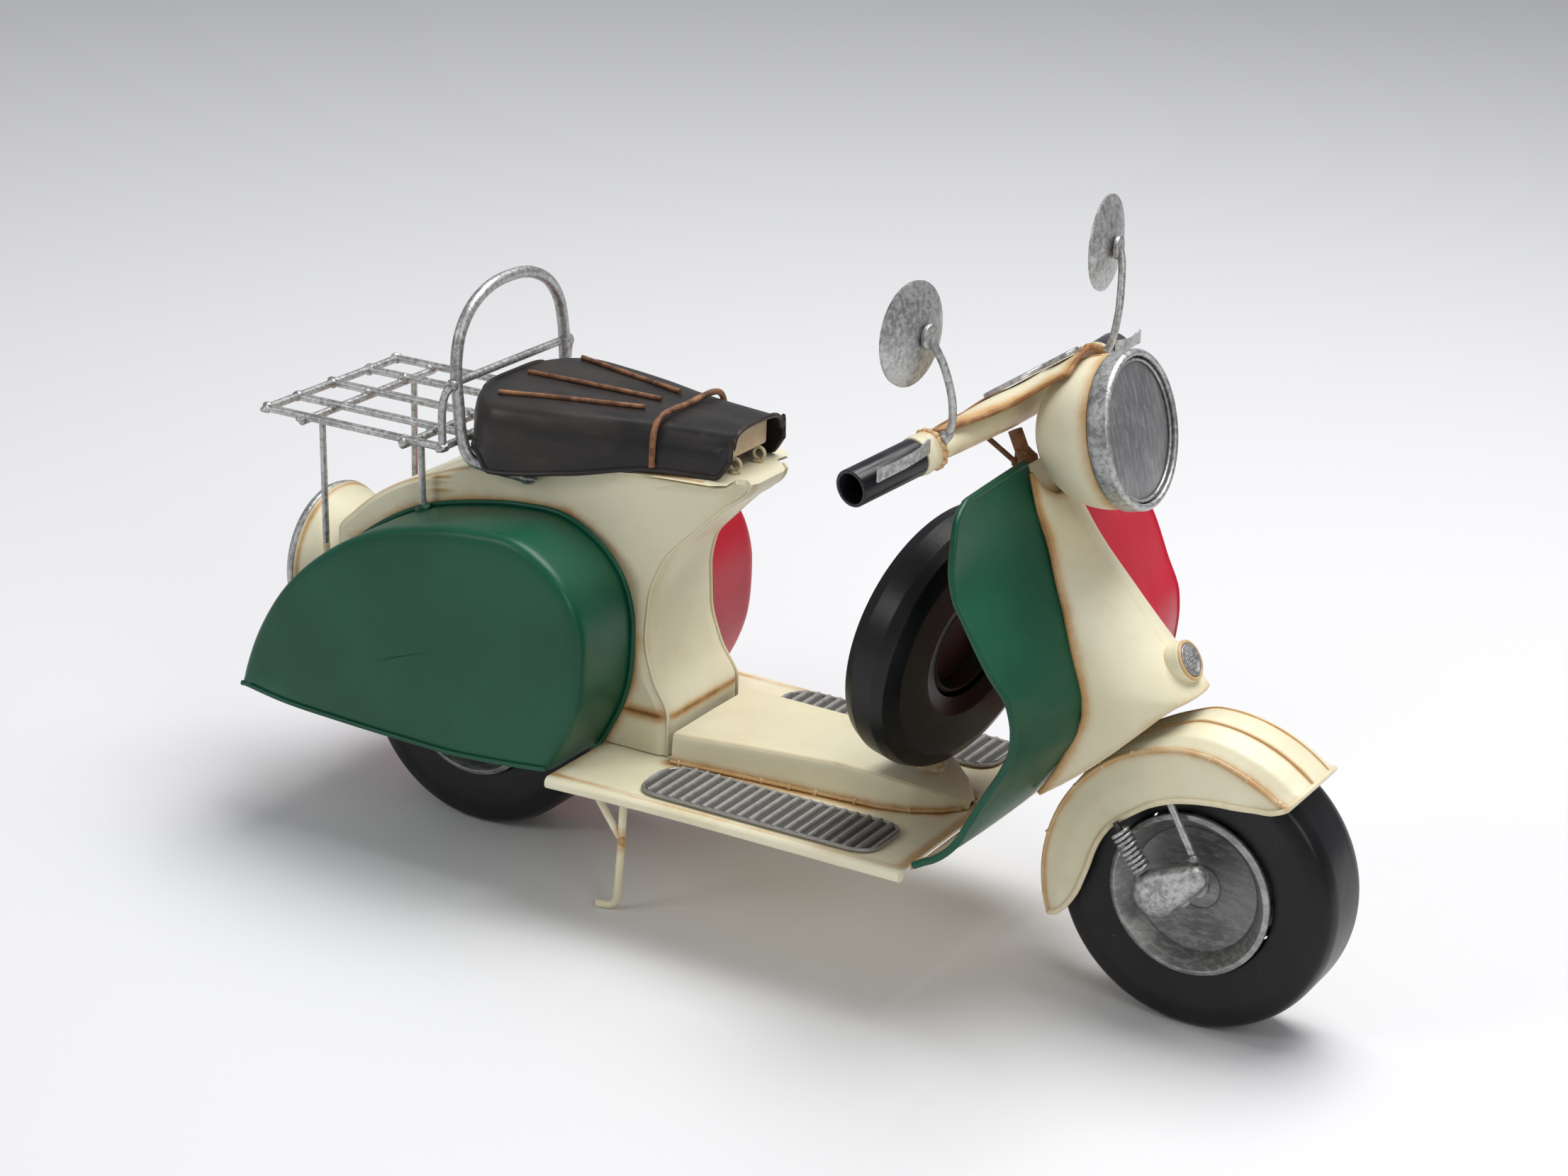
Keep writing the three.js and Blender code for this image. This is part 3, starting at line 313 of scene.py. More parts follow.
def lathe(profile, axis, origin, segments=96):
    """Turned piece; the profile is [radius, distance along the axis]."""
    profile = np.array(profile, float)
    axis = unit(axis)
    side = unit(np.cross(axis, [0.2, 0.1, 1] if abs(axis[2]) < 0.9 else [1, 0, 0]))
    other = np.cross(axis, side)
    angle = full_turn(segments)
    ring = np.cos(angle)[:, None] * side + np.sin(angle)[:, None] * other
    grid = (
        np.array(origin, float)
        + profile[:, None, 1:2] * axis
        + profile[:, None, 0:1] * ring[None]
    )
    verts, faces = skin(grid, wrap_rows=True, wrap_columns=True)
    area = 0.0
    for (r0, h0), (r1, h1) in zip(profile, np.roll(profile, -1, axis=0)):
        area += r0 * h1 - r1 * h0
    if area > 0:
        faces = [f[::-1] for f in faces]
    return verts, faces


def turned(profile, axis, origin, radius=0.6, segments=96):
    """Lathe a polygon with softened corners; a profile on the axis stays open there."""
    profile = np.array(profile, float)
    on_axis = profile[0][0] == 0 and profile[-1][0] == 0
    if on_axis:
        line = rounded(profile, radius, closed=False)
        line[0, 0] = line[-1, 0] = 0.01
        return lathe(line, axis, origin, segments)
    return lathe(rounded(profile, radius), axis, origin, segments)


def lump(centre, radius, seed, stretch=(1, 1, 1)):
    """Blob of braze: an uneven ball whose bumps depend on the seed."""
    rows, columns = 12, 18
    polar = np.linspace(0.02, math.pi - 0.02, rows)[:, None]
    round_ = full_turn(columns)[None]
    direction = np.stack([
        np.sin(polar) * np.cos(round_), np.sin(polar) * np.sin(round_),
        np.cos(polar) * np.ones_like(round_),
    ], 2)
    rng = np.random.default_rng(seed)
    bump = np.zeros((rows, columns))
    for _ in range(5):
        wave = rng.normal(size=3) * 2.2
        bump += np.sin(direction @ wave + rng.uniform(0, 6)) * 0.09
    grid = np.array(centre, float) + direction * (radius * (1 + bump))[..., None] * np.array(stretch)
    verts, faces = skin(grid, wrap_columns=True)
    faces = [f[::-1] for f in faces]
    faces.append(tuple(range(columns)))
    faces.append(tuple((rows - 1) * columns + j for j in reversed(range(columns))))
    return verts, faces


def distance_to_line(points, line):
    """Distance of each point to a polyline."""
    line = np.array(line, float)
    best = np.full(len(points), 1e9)
    for a, b in zip(line[:-1], line[1:]):
        step = b - a
        share = np.clip((points - a) @ step / max(step @ step, 1e-9), 0, 1)
        best = np.minimum(best, np.linalg.norm(points - (a + share[:, None] * step), axis=1))
    return best


class Piece:
    """Collects meshes in millimetres, then makes one object that rides on a body."""

    def __init__(self, name, body, slot, replaces=(), finish=None):
        self.name, self.body, self.slot = name, body, slot
        self.finish = finish or slot
        self.replaces = [replaces] if isinstance(replaces, str) else list(replaces)
        self.verts, self.faces, self.wear = [], [], []
        self.count = 0
        self.seams = []

    def add(self, mesh, wear=0.0):
        verts, faces = mesh
        self.verts.append(np.array(verts, float))
        self.faces.extend(tuple(self.count + i for i in face) for face in faces)
        self.wear.append(np.full(len(verts), float(wear)))
        self.count += len(verts)

    def seam(self, line, width=3.0, strength=1.0):
        """Rust and dirt gather within about this width of the line."""
        self.seams.append((np.array(line, float), width, strength))

    def make(self, crease=38):
        verts = np.vstack(self.verts)
        wear = np.concatenate(self.wear)
        for line, width, strength in self.seams:
            near = strength * np.exp(-distance_to_line(verts, line) / width)
            wear = np.maximum(wear, near)
        mesh = bpy.data.meshes.new(self.name)
        mesh.from_pydata(metres(verts).tolist(), [], self.faces)
        mesh.update()
        mesh.shade_smooth()
        mesh.set_sharp_from_angle(angle=math.radians(crease))
        attribute = mesh.attributes.new("wear", "FLOAT", "POINT")
        attribute.data.foreach_set("value", wear.astype(np.float32))
        mesh.materials.append(materials[self.finish])
        piece = bpy.data.objects.new(self.name, mesh)
        bpy.context.scene.collection.objects.link(piece)
        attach(piece, self.body)
        if self.replaces:
            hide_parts(*self.replaces)


def flipped(mesh):
    """The same mesh on the other side of the centre plane."""
    verts, faces = mesh
    return mirrored(verts), [face[::-1] for face in faces]


SIDES = (("left", 1), ("right", -1))
SIDE_PAINT = {"left": "red", "right": "green"}


def on_side(mesh, sign):
    """Shapes are drawn on the rider's left; sign -1 gives the right one."""
    return mesh if sign > 0 else flipped(mesh)


def line_on_side(line, sign):
    return np.array(line, float) * [1, sign, 1]


# ---------------------------------------------------------------- materials
class Finish:
    """A procedural material: noise in object space, a bump and a Principled shader."""

    def __init__(self, name, metallic=0.0, roughness=0.4, coat=0.0):
        self.material = bpy.data.materials.new(name)
        self.material.use_nodes = True
        self.tree = self.material.node_tree
        self.shader = self.tree.nodes["Principled BSDF"]
        self.shader.inputs["Metallic"].default_value = metallic
        self.shader.inputs["Roughness"].default_value = roughness
        self.shader.inputs["Coat Weight"].default_value = coat
        self.shader.inputs["Coat Roughness"].default_value = 0.25
        self.shader.inputs["Specular IOR Level"].default_value = 0.5 if metallic else 0.3
        self.place = self.tree.nodes.new("ShaderNodeTexCoord").outputs["Object"]

    def feed(self, socket, value):
        if isinstance(value, bpy.types.NodeSocket):
            self.tree.links.new(value, socket)
        elif isinstance(value, tuple):
            socket.default_value = (*value, 1.0)
        else:
            socket.default_value = value

    def noise(self, scale, detail=4.0, rough=0.55, stretch=(1, 1, 1)):
        mapping = self.tree.nodes.new("ShaderNodeMapping")
        mapping.inputs["Scale"].default_value = stretch
        self.tree.links.new(self.place, mapping.inputs["Vector"])
        texture = self.tree.nodes.new("ShaderNodeTexNoise")
        texture.inputs["Scale"].default_value = scale
        texture.inputs["Detail"].default_value = detail
        texture.inputs["Roughness"].default_value = rough
        self.tree.links.new(mapping.outputs["Vector"], texture.inputs["Vector"])
        return texture.outputs["Fac"]

    def wear(self):
        attribute = self.tree.nodes.new("ShaderNodeAttribute")
        attribute.attribute_name = "wear"
        return attribute.outputs["Fac"]

    def math(self, operation, a, b):
        node = self.tree.nodes.new("ShaderNodeMath")
        node.operation = operation
        self.feed(node.inputs[0], a)
        self.feed(node.inputs[1], b)
        return node.outputs[0]

    def step(self, value, low, high, top=1.0):
        """0 below low, top above high, smooth between."""
        node = self.tree.nodes.new("ShaderNodeMapRange")
        node.interpolation_type = "SMOOTHSTEP"
        self.feed(node.inputs["Value"], value)
        node.inputs["From Min"].default_value = low
        node.inputs["From Max"].default_value = high
        node.inputs["To Max"].default_value = top
        return node.outputs["Result"]

    def range(self, value, low, high):
        """A 0 to 1 value stretched between two levels."""
        node = self.tree.nodes.new("ShaderNodeMapRange")
        self.feed(node.inputs["Value"], value)
        node.inputs["To Min"].default_value = low
        node.inputs["To Max"].default_value = high
        return node.outputs["Result"]

    def mix(self, factor, a, b):
        node = self.tree.nodes.new("ShaderNodeMix")
        node.data_type = "RGBA"
        self.feed(node.inputs["Factor"], factor)
        self.feed(node.inputs["A"], a)
        self.feed(node.inputs["B"], b)
        return node.outputs["Result"]

    def color(self, value):
        self.feed(self.shader.inputs["Base Color"], value)

    def roughness(self, value):
        self.feed(self.shader.inputs["Roughness"], value)

    def bump(self, height, distance, strength=1.0):
        node = self.tree.nodes.new("ShaderNodeBump")
        node.inputs["Distance"].default_value = distance
        node.inputs["Strength"].default_value = strength
        self.tree.links.new(height, node.inputs["Height"])
        if self.shader.inputs["Normal"].is_linked:
            self.tree.links.new(self.shader.inputs["Normal"].links[0].from_socket, node.inputs["Normal"])
        self.tree.links.new(node.outputs["Normal"], self.shader.inputs["Normal"])


def enamel(name, base, second, halo, stain, roughness=0.36):
    """Hand-brushed paint: mottled, with dirt and rust where the wear attribute is high."""
    finish = Finish(name, roughness=roughness, coat=0.06)
    patches = finish.noise(16, 3)
    grime = finish.noise(85, 6, 0.65)
    paint = finish.mix(finish.step(patches, 0.36, 0.66), base, second)
    glaze = finish.math("MULTIPLY", finish.step(grime, 0.50, 0.74), 0.10)
    paint = finish.mix(glaze, paint, halo)
    worn = finish.math("MULTIPLY", finish.wear(), finish.range(grime, 0.35, 1.55))
    paint = finish.mix(finish.step(worn, 0.06, 0.50, 0.85), paint, halo)
    rust = finish.step(worn, 0.42, 0.90, 0.92)
    finish.color(finish.mix(rust, paint, stain))
    dull = finish.math("MAXIMUM", rust, finish.math("MULTIPLY", grime, 0.35))
    finish.roughness(finish.range(dull, 0.30, 0.68))
    finish.bump(finish.noise(22, 2), 0.0012, 0.35)
    finish.bump(finish.noise(420, 3), 0.00025, 0.35)
    return finish.material


def antique_silver():
    """Silver paint dragged over black: bright on the high spots, dark in the pits."""
    finish = Finish("silver", metallic=0.8, roughness=0.4)
    pits = finish.noise(420, 5, 0.7)
    cloud = finish.noise(45, 3, 0.5)
    tone = finish.math("ADD", finish.math("MULTIPLY", pits, 0.7), finish.math("MULTIPLY", cloud, 0.3))
    metal = finish.mix(finish.step(tone, 0.38, 0.60), (0.27, 0.27, 0.265), (0.56, 0.56, 0.55))
    glint = finish.step(finish.noise(160, 4, 0.6), 0.55, 0.75, 0.5)
    coat = finish.mix(glint, metal, (0.82, 0.82, 0.81))
    finish.color(finish.mix(finish.wear(), coat, (0.02, 0.02, 0.02)))
    finish.roughness(finish.range(pits, 0.26, 0.58))
    finish.bump(pits, 0.0004, 0.5)
    return finish.material


def wheel_silver():
    """The same paint on the wheel discs, darker and finely scratched."""
    finish = Finish("wheel_silver", metallic=0.8, roughness=0.42)
    cloud = finish.noise(26, 4, 0.6)
    scratch = finish.noise(300, 4, 0.7, (0.5, 1, 1.6))
    metal = finish.mix(finish.step(cloud, 0.30, 0.70), (0.22, 0.22, 0.215), (0.40, 0.40, 0.39))
    metal = finish.mix(finish.step(scratch, 0.42, 0.66, 0.5), metal, (0.62, 0.62, 0.60))
    finish.color(finish.mix(finish.wear(), metal, (0.02, 0.02, 0.02)))
    finish.roughness(finish.range(scratch, 0.34, 0.62))
    finish.bump(scratch, 0.0003, 0.4)
    return finish.material


def tyre_black():
    finish = Finish("tyre", roughness=0.3)
    scuff = finish.noise(150, 5, 0.7)
    patches = finish.noise(20, 3)
    black = finish.mix(finish.step(patches, 0.35, 0.7), (0.005, 0.005, 0.006), (0.012, 0.012, 0.013))
    grey = finish.mix(finish.step(scuff, 0.62, 0.76, 0.35), black, (0.05, 0.05, 0.05))
    finish.color(finish.mix(finish.step(finish.noise(330, 2), 0.76, 0.80), grey, (0.34, 0.26, 0.17)))
    finish.roughness(finish.range(patches, 0.24, 0.46))
    finish.bump(finish.noise(30, 2), 0.0012, 0.4)
    finish.bump(scuff, 0.0003, 0.4)
    return finish.material


def seat_brown():
    finish = Finish("seat", roughness=0.34, coat=0.1)
    drag = finish.noise(40, 5, 0.65, (0.35, 1, 1))
    fine = finish.noise(260, 4, 0.6, (0.5, 1, 1))
    paint = finish.mix(finish.step(drag, 0.38, 0.68), (0.016, 0.015, 0.015), (0.036, 0.029, 0.025))
    paint = finish.mix(finish.step(fine, 0.60, 0.78, 0.35), paint, (0.085, 0.058, 0.04))
    worn = finish.math("MULTIPLY", finish.wear(), finish.range(fine, 0.4, 1.5))
    finish.color(finish.mix(finish.step(worn, 0.15, 0.8, 0.85), paint, (0.16, 0.085, 0.05)))
    finish.roughness(finish.range(drag, 0.26, 0.52))
    finish.bump(finish.noise(26, 2), 0.0012, 0.35)
    finish.bump(fine, 0.0002, 0.4)
    return finish.material


def mat_silver():
    """Ribbed mats: wear is the rib height, so the tops are silver and the grooves dark."""
    finish = Finish("mat", metallic=0.6, roughness=0.45)
    pits = finish.noise(260, 5, 0.7)
    top = finish.math("MULTIPLY", finish.wear(), finish.range(pits, 0.35, 1.6))
    metal = finish.mix(finish.step(top, 0.15, 0.95), (0.10, 0.098, 0.09), (0.36, 0.35, 0.33))
    finish.color(metal)
    finish.roughness(finish.range(pits, 0.35, 0.6))
    finish.bump(pits, 0.0004, 0.4)
    return finish.material


def rust_brown():
    finish = Finish("rust", metallic=0.2, roughness=0.6)
    patches = finish.noise(110, 5, 0.7)
    finish.color(finish.mix(finish.step(patches, 0.35, 0.68), (0.10, 0.042, 0.022), (0.34, 0.16, 0.075)))
    finish.roughness(finish.range(patches, 0.45, 0.75))
    finish.bump(patches, 0.0006, 0.5)
    return finish.material


def grip_black():
    finish = Finish("grip", roughness=0.22, coat=0.15)
    patches = finish.noise(60, 4)
    finish.color(finish.mix(finish.step(patches, 0.4, 0.7), (0.008, 0.008, 0.010), (0.020, 0.020, 0.023)))
    finish.roughness(finish.range(patches, 0.18, 0.36))
    finish.bump(finish.noise(90, 2), 0.0005, 0.4)
    return finish.material


def lens_grey():
    """Metallic grey disc with fine scratches, mostly up and down."""
    finish = Finish("lens", metallic=0.7, roughness=0.34)
    scratch = finish.noise(120, 6, 0.75, (2, 5, 0.7))
    cloud = finish.noise(24, 3)
    metal = finish.mix(finish.step(cloud, 0.35, 0.68), (0.20, 0.20, 0.205), (0.34, 0.34, 0.34))
    metal = finish.mix(finish.step(scratch, 0.46, 0.62, 0.7), metal, (0.42, 0.42, 0.42))
    finish.color(finish.mix(finish.wear(), metal, (0.05, 0.05, 0.05)))
    finish.roughness(finish.range(scratch, 0.28, 0.55))
    finish.bump(scratch, 0.0003, 0.4)
    return finish.material


OCHRE = (0.52, 0.27, 0.075)
DARK_RUST = (0.20, 0.075, 0.018)
materials = {
    "cream": enamel("cream", (0.76, 0.70, 0.49), (0.83, 0.78, 0.58), OCHRE, DARK_RUST),
    "green": enamel(
        "green", (0.004, 0.068, 0.034), (0.007, 0.088, 0.045), (0.02, 0.06, 0.03), (0.05, 0.05, 0.02),
    ),
    "red": enamel(
        "red", (0.42, 0.006, 0.022), (0.52, 0.010, 0.032), (0.25, 0.02, 0.02), (0.12, 0.02, 0.01),
    ),
    "silver": antique_silver(),
    "wheel_silver": wheel_silver(),
    "tyre": tyre_black(),
    "seat": seat_brown(),
    "mat": mat_silver(),
    "rust": rust_brown(),
    "grip": grip_black(),
    "lens": lens_grey(),
}


# ---------------------------------------------------------------- more shape helpers
def subdivided(line, step):
    """Extra points along a polyline, so that wear has vertices to sit on; corners are kept."""
    line = np.array(line, float)
    points = []
    for a, b in zip(line, line[1:]):
        parts = max(1, int(round(np.linalg.norm(b - a) / step)))
        points.extend(a + (b - a) * i / parts for i in range(parts))
    points.append(line[-1])
    return np.array(points)


def share_split(line, parts, closed=False):
    """The same number of extra points in every segment, so that rings stay matched."""
    line = np.array(line, float)
    ends = np.roll(line, -1, axis=0) if closed else line[1:]
    starts = line if closed else line[:-1]
    points = [a + (b - a) * i / parts for a, b in zip(starts, ends) for i in range(parts)]
    if not closed:
        points.append(line[-1])
    return np.array(points)


def shell(outer, inner, cap_top=True):
    """Closed wall between two stacks of rings, open at the first ring and capped at the last."""
    verts_out, faces_out = skin(outer, wrap_columns=True)
    verts_in, faces_in = skin(inner, wrap_columns=True)
    shift = len(verts_out)
    faces = list(faces_out) + [tuple(shift + i for i in f[::-1]) for f in faces_in]
    columns = outer.shape[1]
    for j in range(columns):
        k = (j + 1) % columns
        faces.append((k, j, shift + j, shift + k))
    if cap_top:
        top = (outer.shape[0] - 1) * columns
        faces.append(tuple(top + j for j in range(columns)))
        faces.append(tuple(shift + (inner.shape[0] - 1) * columns + j for j in reversed(range(columns))))
    return np.vstack([verts_out, verts_in]), faces


def inset_ring(ring, distance):
    """A closed outline in a plane of constant Y, moved inward by a distance."""
    ring = np.array(ring, float)
    tangent = np.roll(ring, -1, axis=0) - np.roll(ring, 1, axis=0)
    tangent /= np.maximum(np.linalg.norm(tangent, axis=1, keepdims=True), 1e-9)
    normal = np.stack([-tangent[:, 1], tangent[:, 0]], 1)
    area = np.sum(ring[:, 0] * np.roll(ring[:, 1], -1) - np.roll(ring[:, 0], -1) * ring[:, 1])
    return ring + normal * distance * (1 if area > 0 else -1)


def dots(piece, line, spacing, radius, seed, chance=1.0):
    """Small braze lumps at uneven spacing along a line."""
    line = np.array(line, float)
    run = np.concatenate([[0], np.cumsum(np.linalg.norm(np.diff(line, axis=0), axis=1))])
    rng = np.random.default_rng(seed)
    place = spacing * 0.5
    while place < run[-1]:
        spot = np.array([np.interp(place, run, line[:, axis]) for axis in range(3)])
        if rng.uniform() < chance:
            piece.add(lump(spot, radius * rng.uniform(0.7, 1.2), int(rng.integers(1 << 30))))
        place += spacing * rng.uniform(0.6, 1.5)


def bar(a, b, radius, sides=14):
    ends = np.array([a, b], float)
    return tube(subdivided(ends, 4), radius, sides, wobble=0.015)


# ---------------------------------------------------------------- wheels
TYRE_PROFILE = [
    [37.3, 18], [54, 20], [62, 17.5], [64, 12], [64, -12], [62, -17.5], [54, -20], [37.3, -18],
    [37.3, -16.6], [53.6, -18.4], [60.6, -16.4], [62.4, -11.5], [62.4, 11.5], [60.6, 16.4],
    [53.6, 18.4], [37.3, 16.6],
]
DISC_PROFILE = [
    [3.4, 8.4], [10, 8.4], [27, 12], [33.5, 19], [36.9, 19], [37, 21], [34.6, 22.2], [28.5, 13.6],
    [10, 10], [3.4, 10],
]
DISC_FOLDS = ((28.5, 13.6), (10, 10))
DRAWN_TYRE_RADIUS = 64


def add_wheel(name, x, body):
    centre = (x, 0, WHEEL_RADIUS)
    scale = WHEEL_RADIUS / DRAWN_TYRE_RADIUS
    tyre = Piece(name + "_tyre_shell", body, "tyre", name + "_tyre")
    tyre.add(turned(np.array(TYRE_PROFILE) * [scale, 1], Y_AXIS, centre, 2.4, 160))
    tyre.make(30)
    for side, sign in SIDES:
        disc = Piece(f"{name}_disc_{side}", body, "silver", f"{name}_wheel_disc_{side}", "wheel_silver")
        disc.add(turned(np.array(DISC_PROFILE) * [1, sign], Y_AXIS, centre, 0.6, 128))
        for radius, out in DISC_FOLDS:
            middle = (x, sign * out, WHEEL_RADIUS)
            disc.seam(circle(middle, X_AXIS, Z_AXIS, radius, full_turn(97, closed=True)), 0.8, 0.9)
        disc.make(30)


add_wheel("rear", 0, "rear_wheel")
add_wheel("front", WHEELBASE, "front_wheel")


# ---------------------------------------------------------------- rear body
BODY_SIDE = 32.0
SKIRT_Z = 87.3
BODY_LEVELS = [68.4, 87.3, 104.4, 124, 141.4, 149.7, 166, 178.5, 188, 197, 201.5, 203.5]
BODY_BACK = [[68.4, -68], [78, -71], [140.6, -71], [149.7, -63], [166, -42], [178.5, -14.7], [189.7, 19],
             [197, 60], [202, 100], [203.5, 132]]
BODY_FRONT = [[68.4, 119], [87.3, 119], [104.4, 110], [124, 105], [141.4, 105.4], [159.6, 110.7],
              [174, 123.6], [188, 138], [197, 149], [201.5, 151], [203.5, 149]]
POST_HALF_WIDTH = [[90, 32], [125, 30], [145, 27.5], [165, 22.5], [185, 18.5], [203, 17]]


def look(table, key):
    table = np.array(table, float)
    return float(np.interp(key, table[:, 0], table[:, 1]))


def body_ring(z, wall):
    back = along(BODY_BACK, [z])[0] + wall
    front = along(BODY_FRONT, [z])[0] - wall
    side = BODY_SIDE - wall
    nose = along(POST_HALF_WIDTH, [z])[0] - wall
    straight = max(back + 6, min(55, front - 50))
    half = [
        [back, side - 5], [back + 1.5, side - 1.5], [back + 5, side], [straight, side],
        [straight + (front - straight) * 0.55, side + (nose - side) * 0.3], [front - 6, nose],
        [front - 1.8, nose - 1.8], [front, nose - 6],
    ]
    ring = [(x, y, z) for x, y in half] + [(x, -y, z) for x, y in reversed(half)]
    return share_split(ring, 10, closed=True)


def add_body():
    levels = subdivided([[z] for z in BODY_LEVELS], 2.2)[:, 0]
    front, back = along(BODY_FRONT, levels), along(BODY_BACK, levels)
    nose = along(POST_HALF_WIDTH, levels)
    outer = np.array([body_ring(z, 0) for z in levels])
    inner = np.array([body_ring(z, 1.2) - [0, 0, 1.4 if z > 72 else 0] for z in levels])
    body = Piece("body_shell", "chassis", "cream", "rear_body")
    verts, faces = shell(outer, inner)
    body.add((verts, [f[::-1] for f in faces]))
    for _, sign in SIDES:
        hanger = np.array([
            [(x, sign * y, z) for x, z in ((-13, 74.4), (-9, 57), (9, 57), (13, 74.4))] for y in (31.9, 30.2)
        ])
        verts, faces = skin(hanger, wrap_columns=True)
        faces = faces + [(3, 2, 1, 0), (4, 5, 6, 7)]
        body.add((verts, faces), 0.35)
        cowl_edge = line_on_side([(x, 32.6, z) for x, z in COWL_OUTLINE[:17]], sign)
        body.seam(cowl_edge, 3.2, 0.9)
        body.seam([(x, sign * BODY_SIDE, SKIRT_Z) for x in (-68, 119)], 2.6, 0.95)
        body.seam([(x, sign * (y - 2), z) for x, y, z in zip(front, nose, levels)], 1.5, 0.45)
        body.seam([(-10, sign * BODY_SIDE, z) for z in (160, 181)], 2.4, 0.8)
        body.seam([(x, sign * 29, z) for x, z in zip(back, levels)], 2.0, 0.6)
    body.seam([(119, y, SKIRT_Z) for y in (-30, 30)], 2.0, 0.8)
    body.make(24)

    edging = Piece("body_edge_wire", "chassis", "cream")
    for _, sign in SIDES:
        edge = [(x - 1.3, sign * (y - 1.6), z) for x, y, z in zip(front, nose, levels)]
        edging.add(tube(edge, 0.75, 10), 0.05)
    edging.make()


COWL_OUTLINE = [
    (-95.6, 69.2), (-93, 79), (-85, 99), (-71, 121.5), (-54, 139), (-33, 154), (-13, 163.6),
    (15, 170.8), (39, 174.3), (62, 174.1), (81, 165), (93, 152), (98.5, 137), (99.4, 123),
    (97.7, 102.5), (93, 88), (82, 67), (54, 64.1), (30, 62.4), (-2, 62.7), (-35, 63.6), (-69, 65.3),
]


def cowl_line():
    """Fine side outline of a cowl: smooth over the top, straight underneath."""
    top = spline(np.array(COWL_OUTLINE[:17], float), 12)
    under = spline(np.array(COWL_OUTLINE[16:] + COWL_OUTLINE[:1], float), 8)
    return evenly(np.vstack([top, under[1:-1]]), 2.6, closed=True)


def add_cowls():
    outline = cowl_line()
    middle = np.array([18.0, 112.0])
    face_y, crown, inner_face_y = 75.8, 0.9, 74.4

    def ring(y, distance):
        return set_at(inset_ring(outline, distance), y)

    depth = list(np.linspace(32.7, 70.4, 16))
    outer = [ring(y, 0) for y in depth]
    for y, distance in ((72.2, 0.25), (73.6, 0.8), (74.6, 1.7), (75.3, 3.0), (face_y, 4.8)):
        outer.append(ring(y, distance))
    inner = [ring(y, 1.4) for y in depth] + [ring(73.0, 2.4), ring(74.2, 5.4)]
    rim = outer[-1][:, [0, 2]]
    inner_rim = inner[-1][:, [0, 2]]
    for share in list(np.linspace(0.94, 0.06, 20)) + [0.03, 0.012, 0.003]:
        outer.append(set_at(middle + (rim - middle) * share, face_y + crown * (1 - share ** 4)))
        inner.append(set_at(middle + (inner_rim - middle) * share, inner_face_y))
    mesh = shell(np.array(outer), np.array(inner))
    for side, sign in SIDES:
        slot = SIDE_PAINT[side]
        cowl = Piece(f"cowl_{side}_skin", "chassis", slot, f"cowl_{side}")
        verts, faces = on_side(mesh, sign)
        cowl.add((verts, [f[::-1] for f in faces]))
        cowl.make(32)
        bead = Piece(f"cowl_{side}_wires", "chassis", slot)
        edge = ring(33.9, -0.9)
        bead.add(tube(line_on_side(edge, sign), 1.35, 12, closed=True))
        low = line_on_side([p for p in ring(75.2, 1.6) if p[2] < 70.5], sign)
        order = np.argsort(low[:, 0])
        bead.add(tube(evenly(low[order], 3), 1.25, 12))
        for spot in ((-14, 38, 164.4), (-73, 36, 120.5)):
            bead.add(lump(line_on_side(spot, sign), 3.0, 7 + sign, (1.3, 1, 0.8)))
        bead.make()


add_body()
add_cowls()


TAIL_Z = 113.0


def add_tail():
    tail = Piece("tail_flare", "chassis", "cream", "tail_housing")
    rows = []
    angles = full_turn(96)
    for share in np.linspace(0, 1, 18):
        x = -66 - 27 * share
        bell = share ** 1.7
        blend = min(1.0, share * 2.2)
        row = []
        for angle in angles:
            c, s = math.cos(angle), math.sin(angle)
            box = 1 / max(abs(c) / 31.0, abs(s) / 29.0)
            radius = (1 - blend) * min(box, 36) + blend * (29.5 + 7.2 * bell)
            row.append((x, radius * c, TAIL_Z + radius * s))
        rows.append(row)
    outer = np.array(rows)
    inner = outer.copy()
    centre = np.array([0, TAIL_Z])
    inner[..., 1:] = centre + (outer[..., 1:] - centre) * 0.955
    tail.add(shell(outer[::-1], inner[::-1], cap_top=False))
    tail.seam(outer[2], 2.0, 0.7)
    tail.seam(outer[-2], 1.6, 0.5)
    tail.make(40)
    lamp = Piece("tail_ring", "chassis", "silver", "tail_lamp")
    lamp.add(turned([
        [0, -2.6], [32.4, -2.6], [32.8, 0], [36.6, 0], [37.2, 1.5], [36.5, 3], [33.5, 3], [32, 1.4], [0, 2],
    ], (-1, 0, 0), (-93.4, 0, TAIL_Z), 0.5, 96))
    lamp.add(tube(circle((-96, 0, TAIL_Z), Y_AXIS, Z_AXIS, 34.8, full_turn(90)), 1.9, 12, closed=True))
    lamp.make()


add_tail()


# ---------------------------------------------------------------- floor, tunnel, mats and stand
FLOOR_TOP = 67.8
FLOOR_REAR, FLOOR_FRONT = 85, 265.4
TUNNEL_REAR, TUNNEL_FRONT = 123, 260


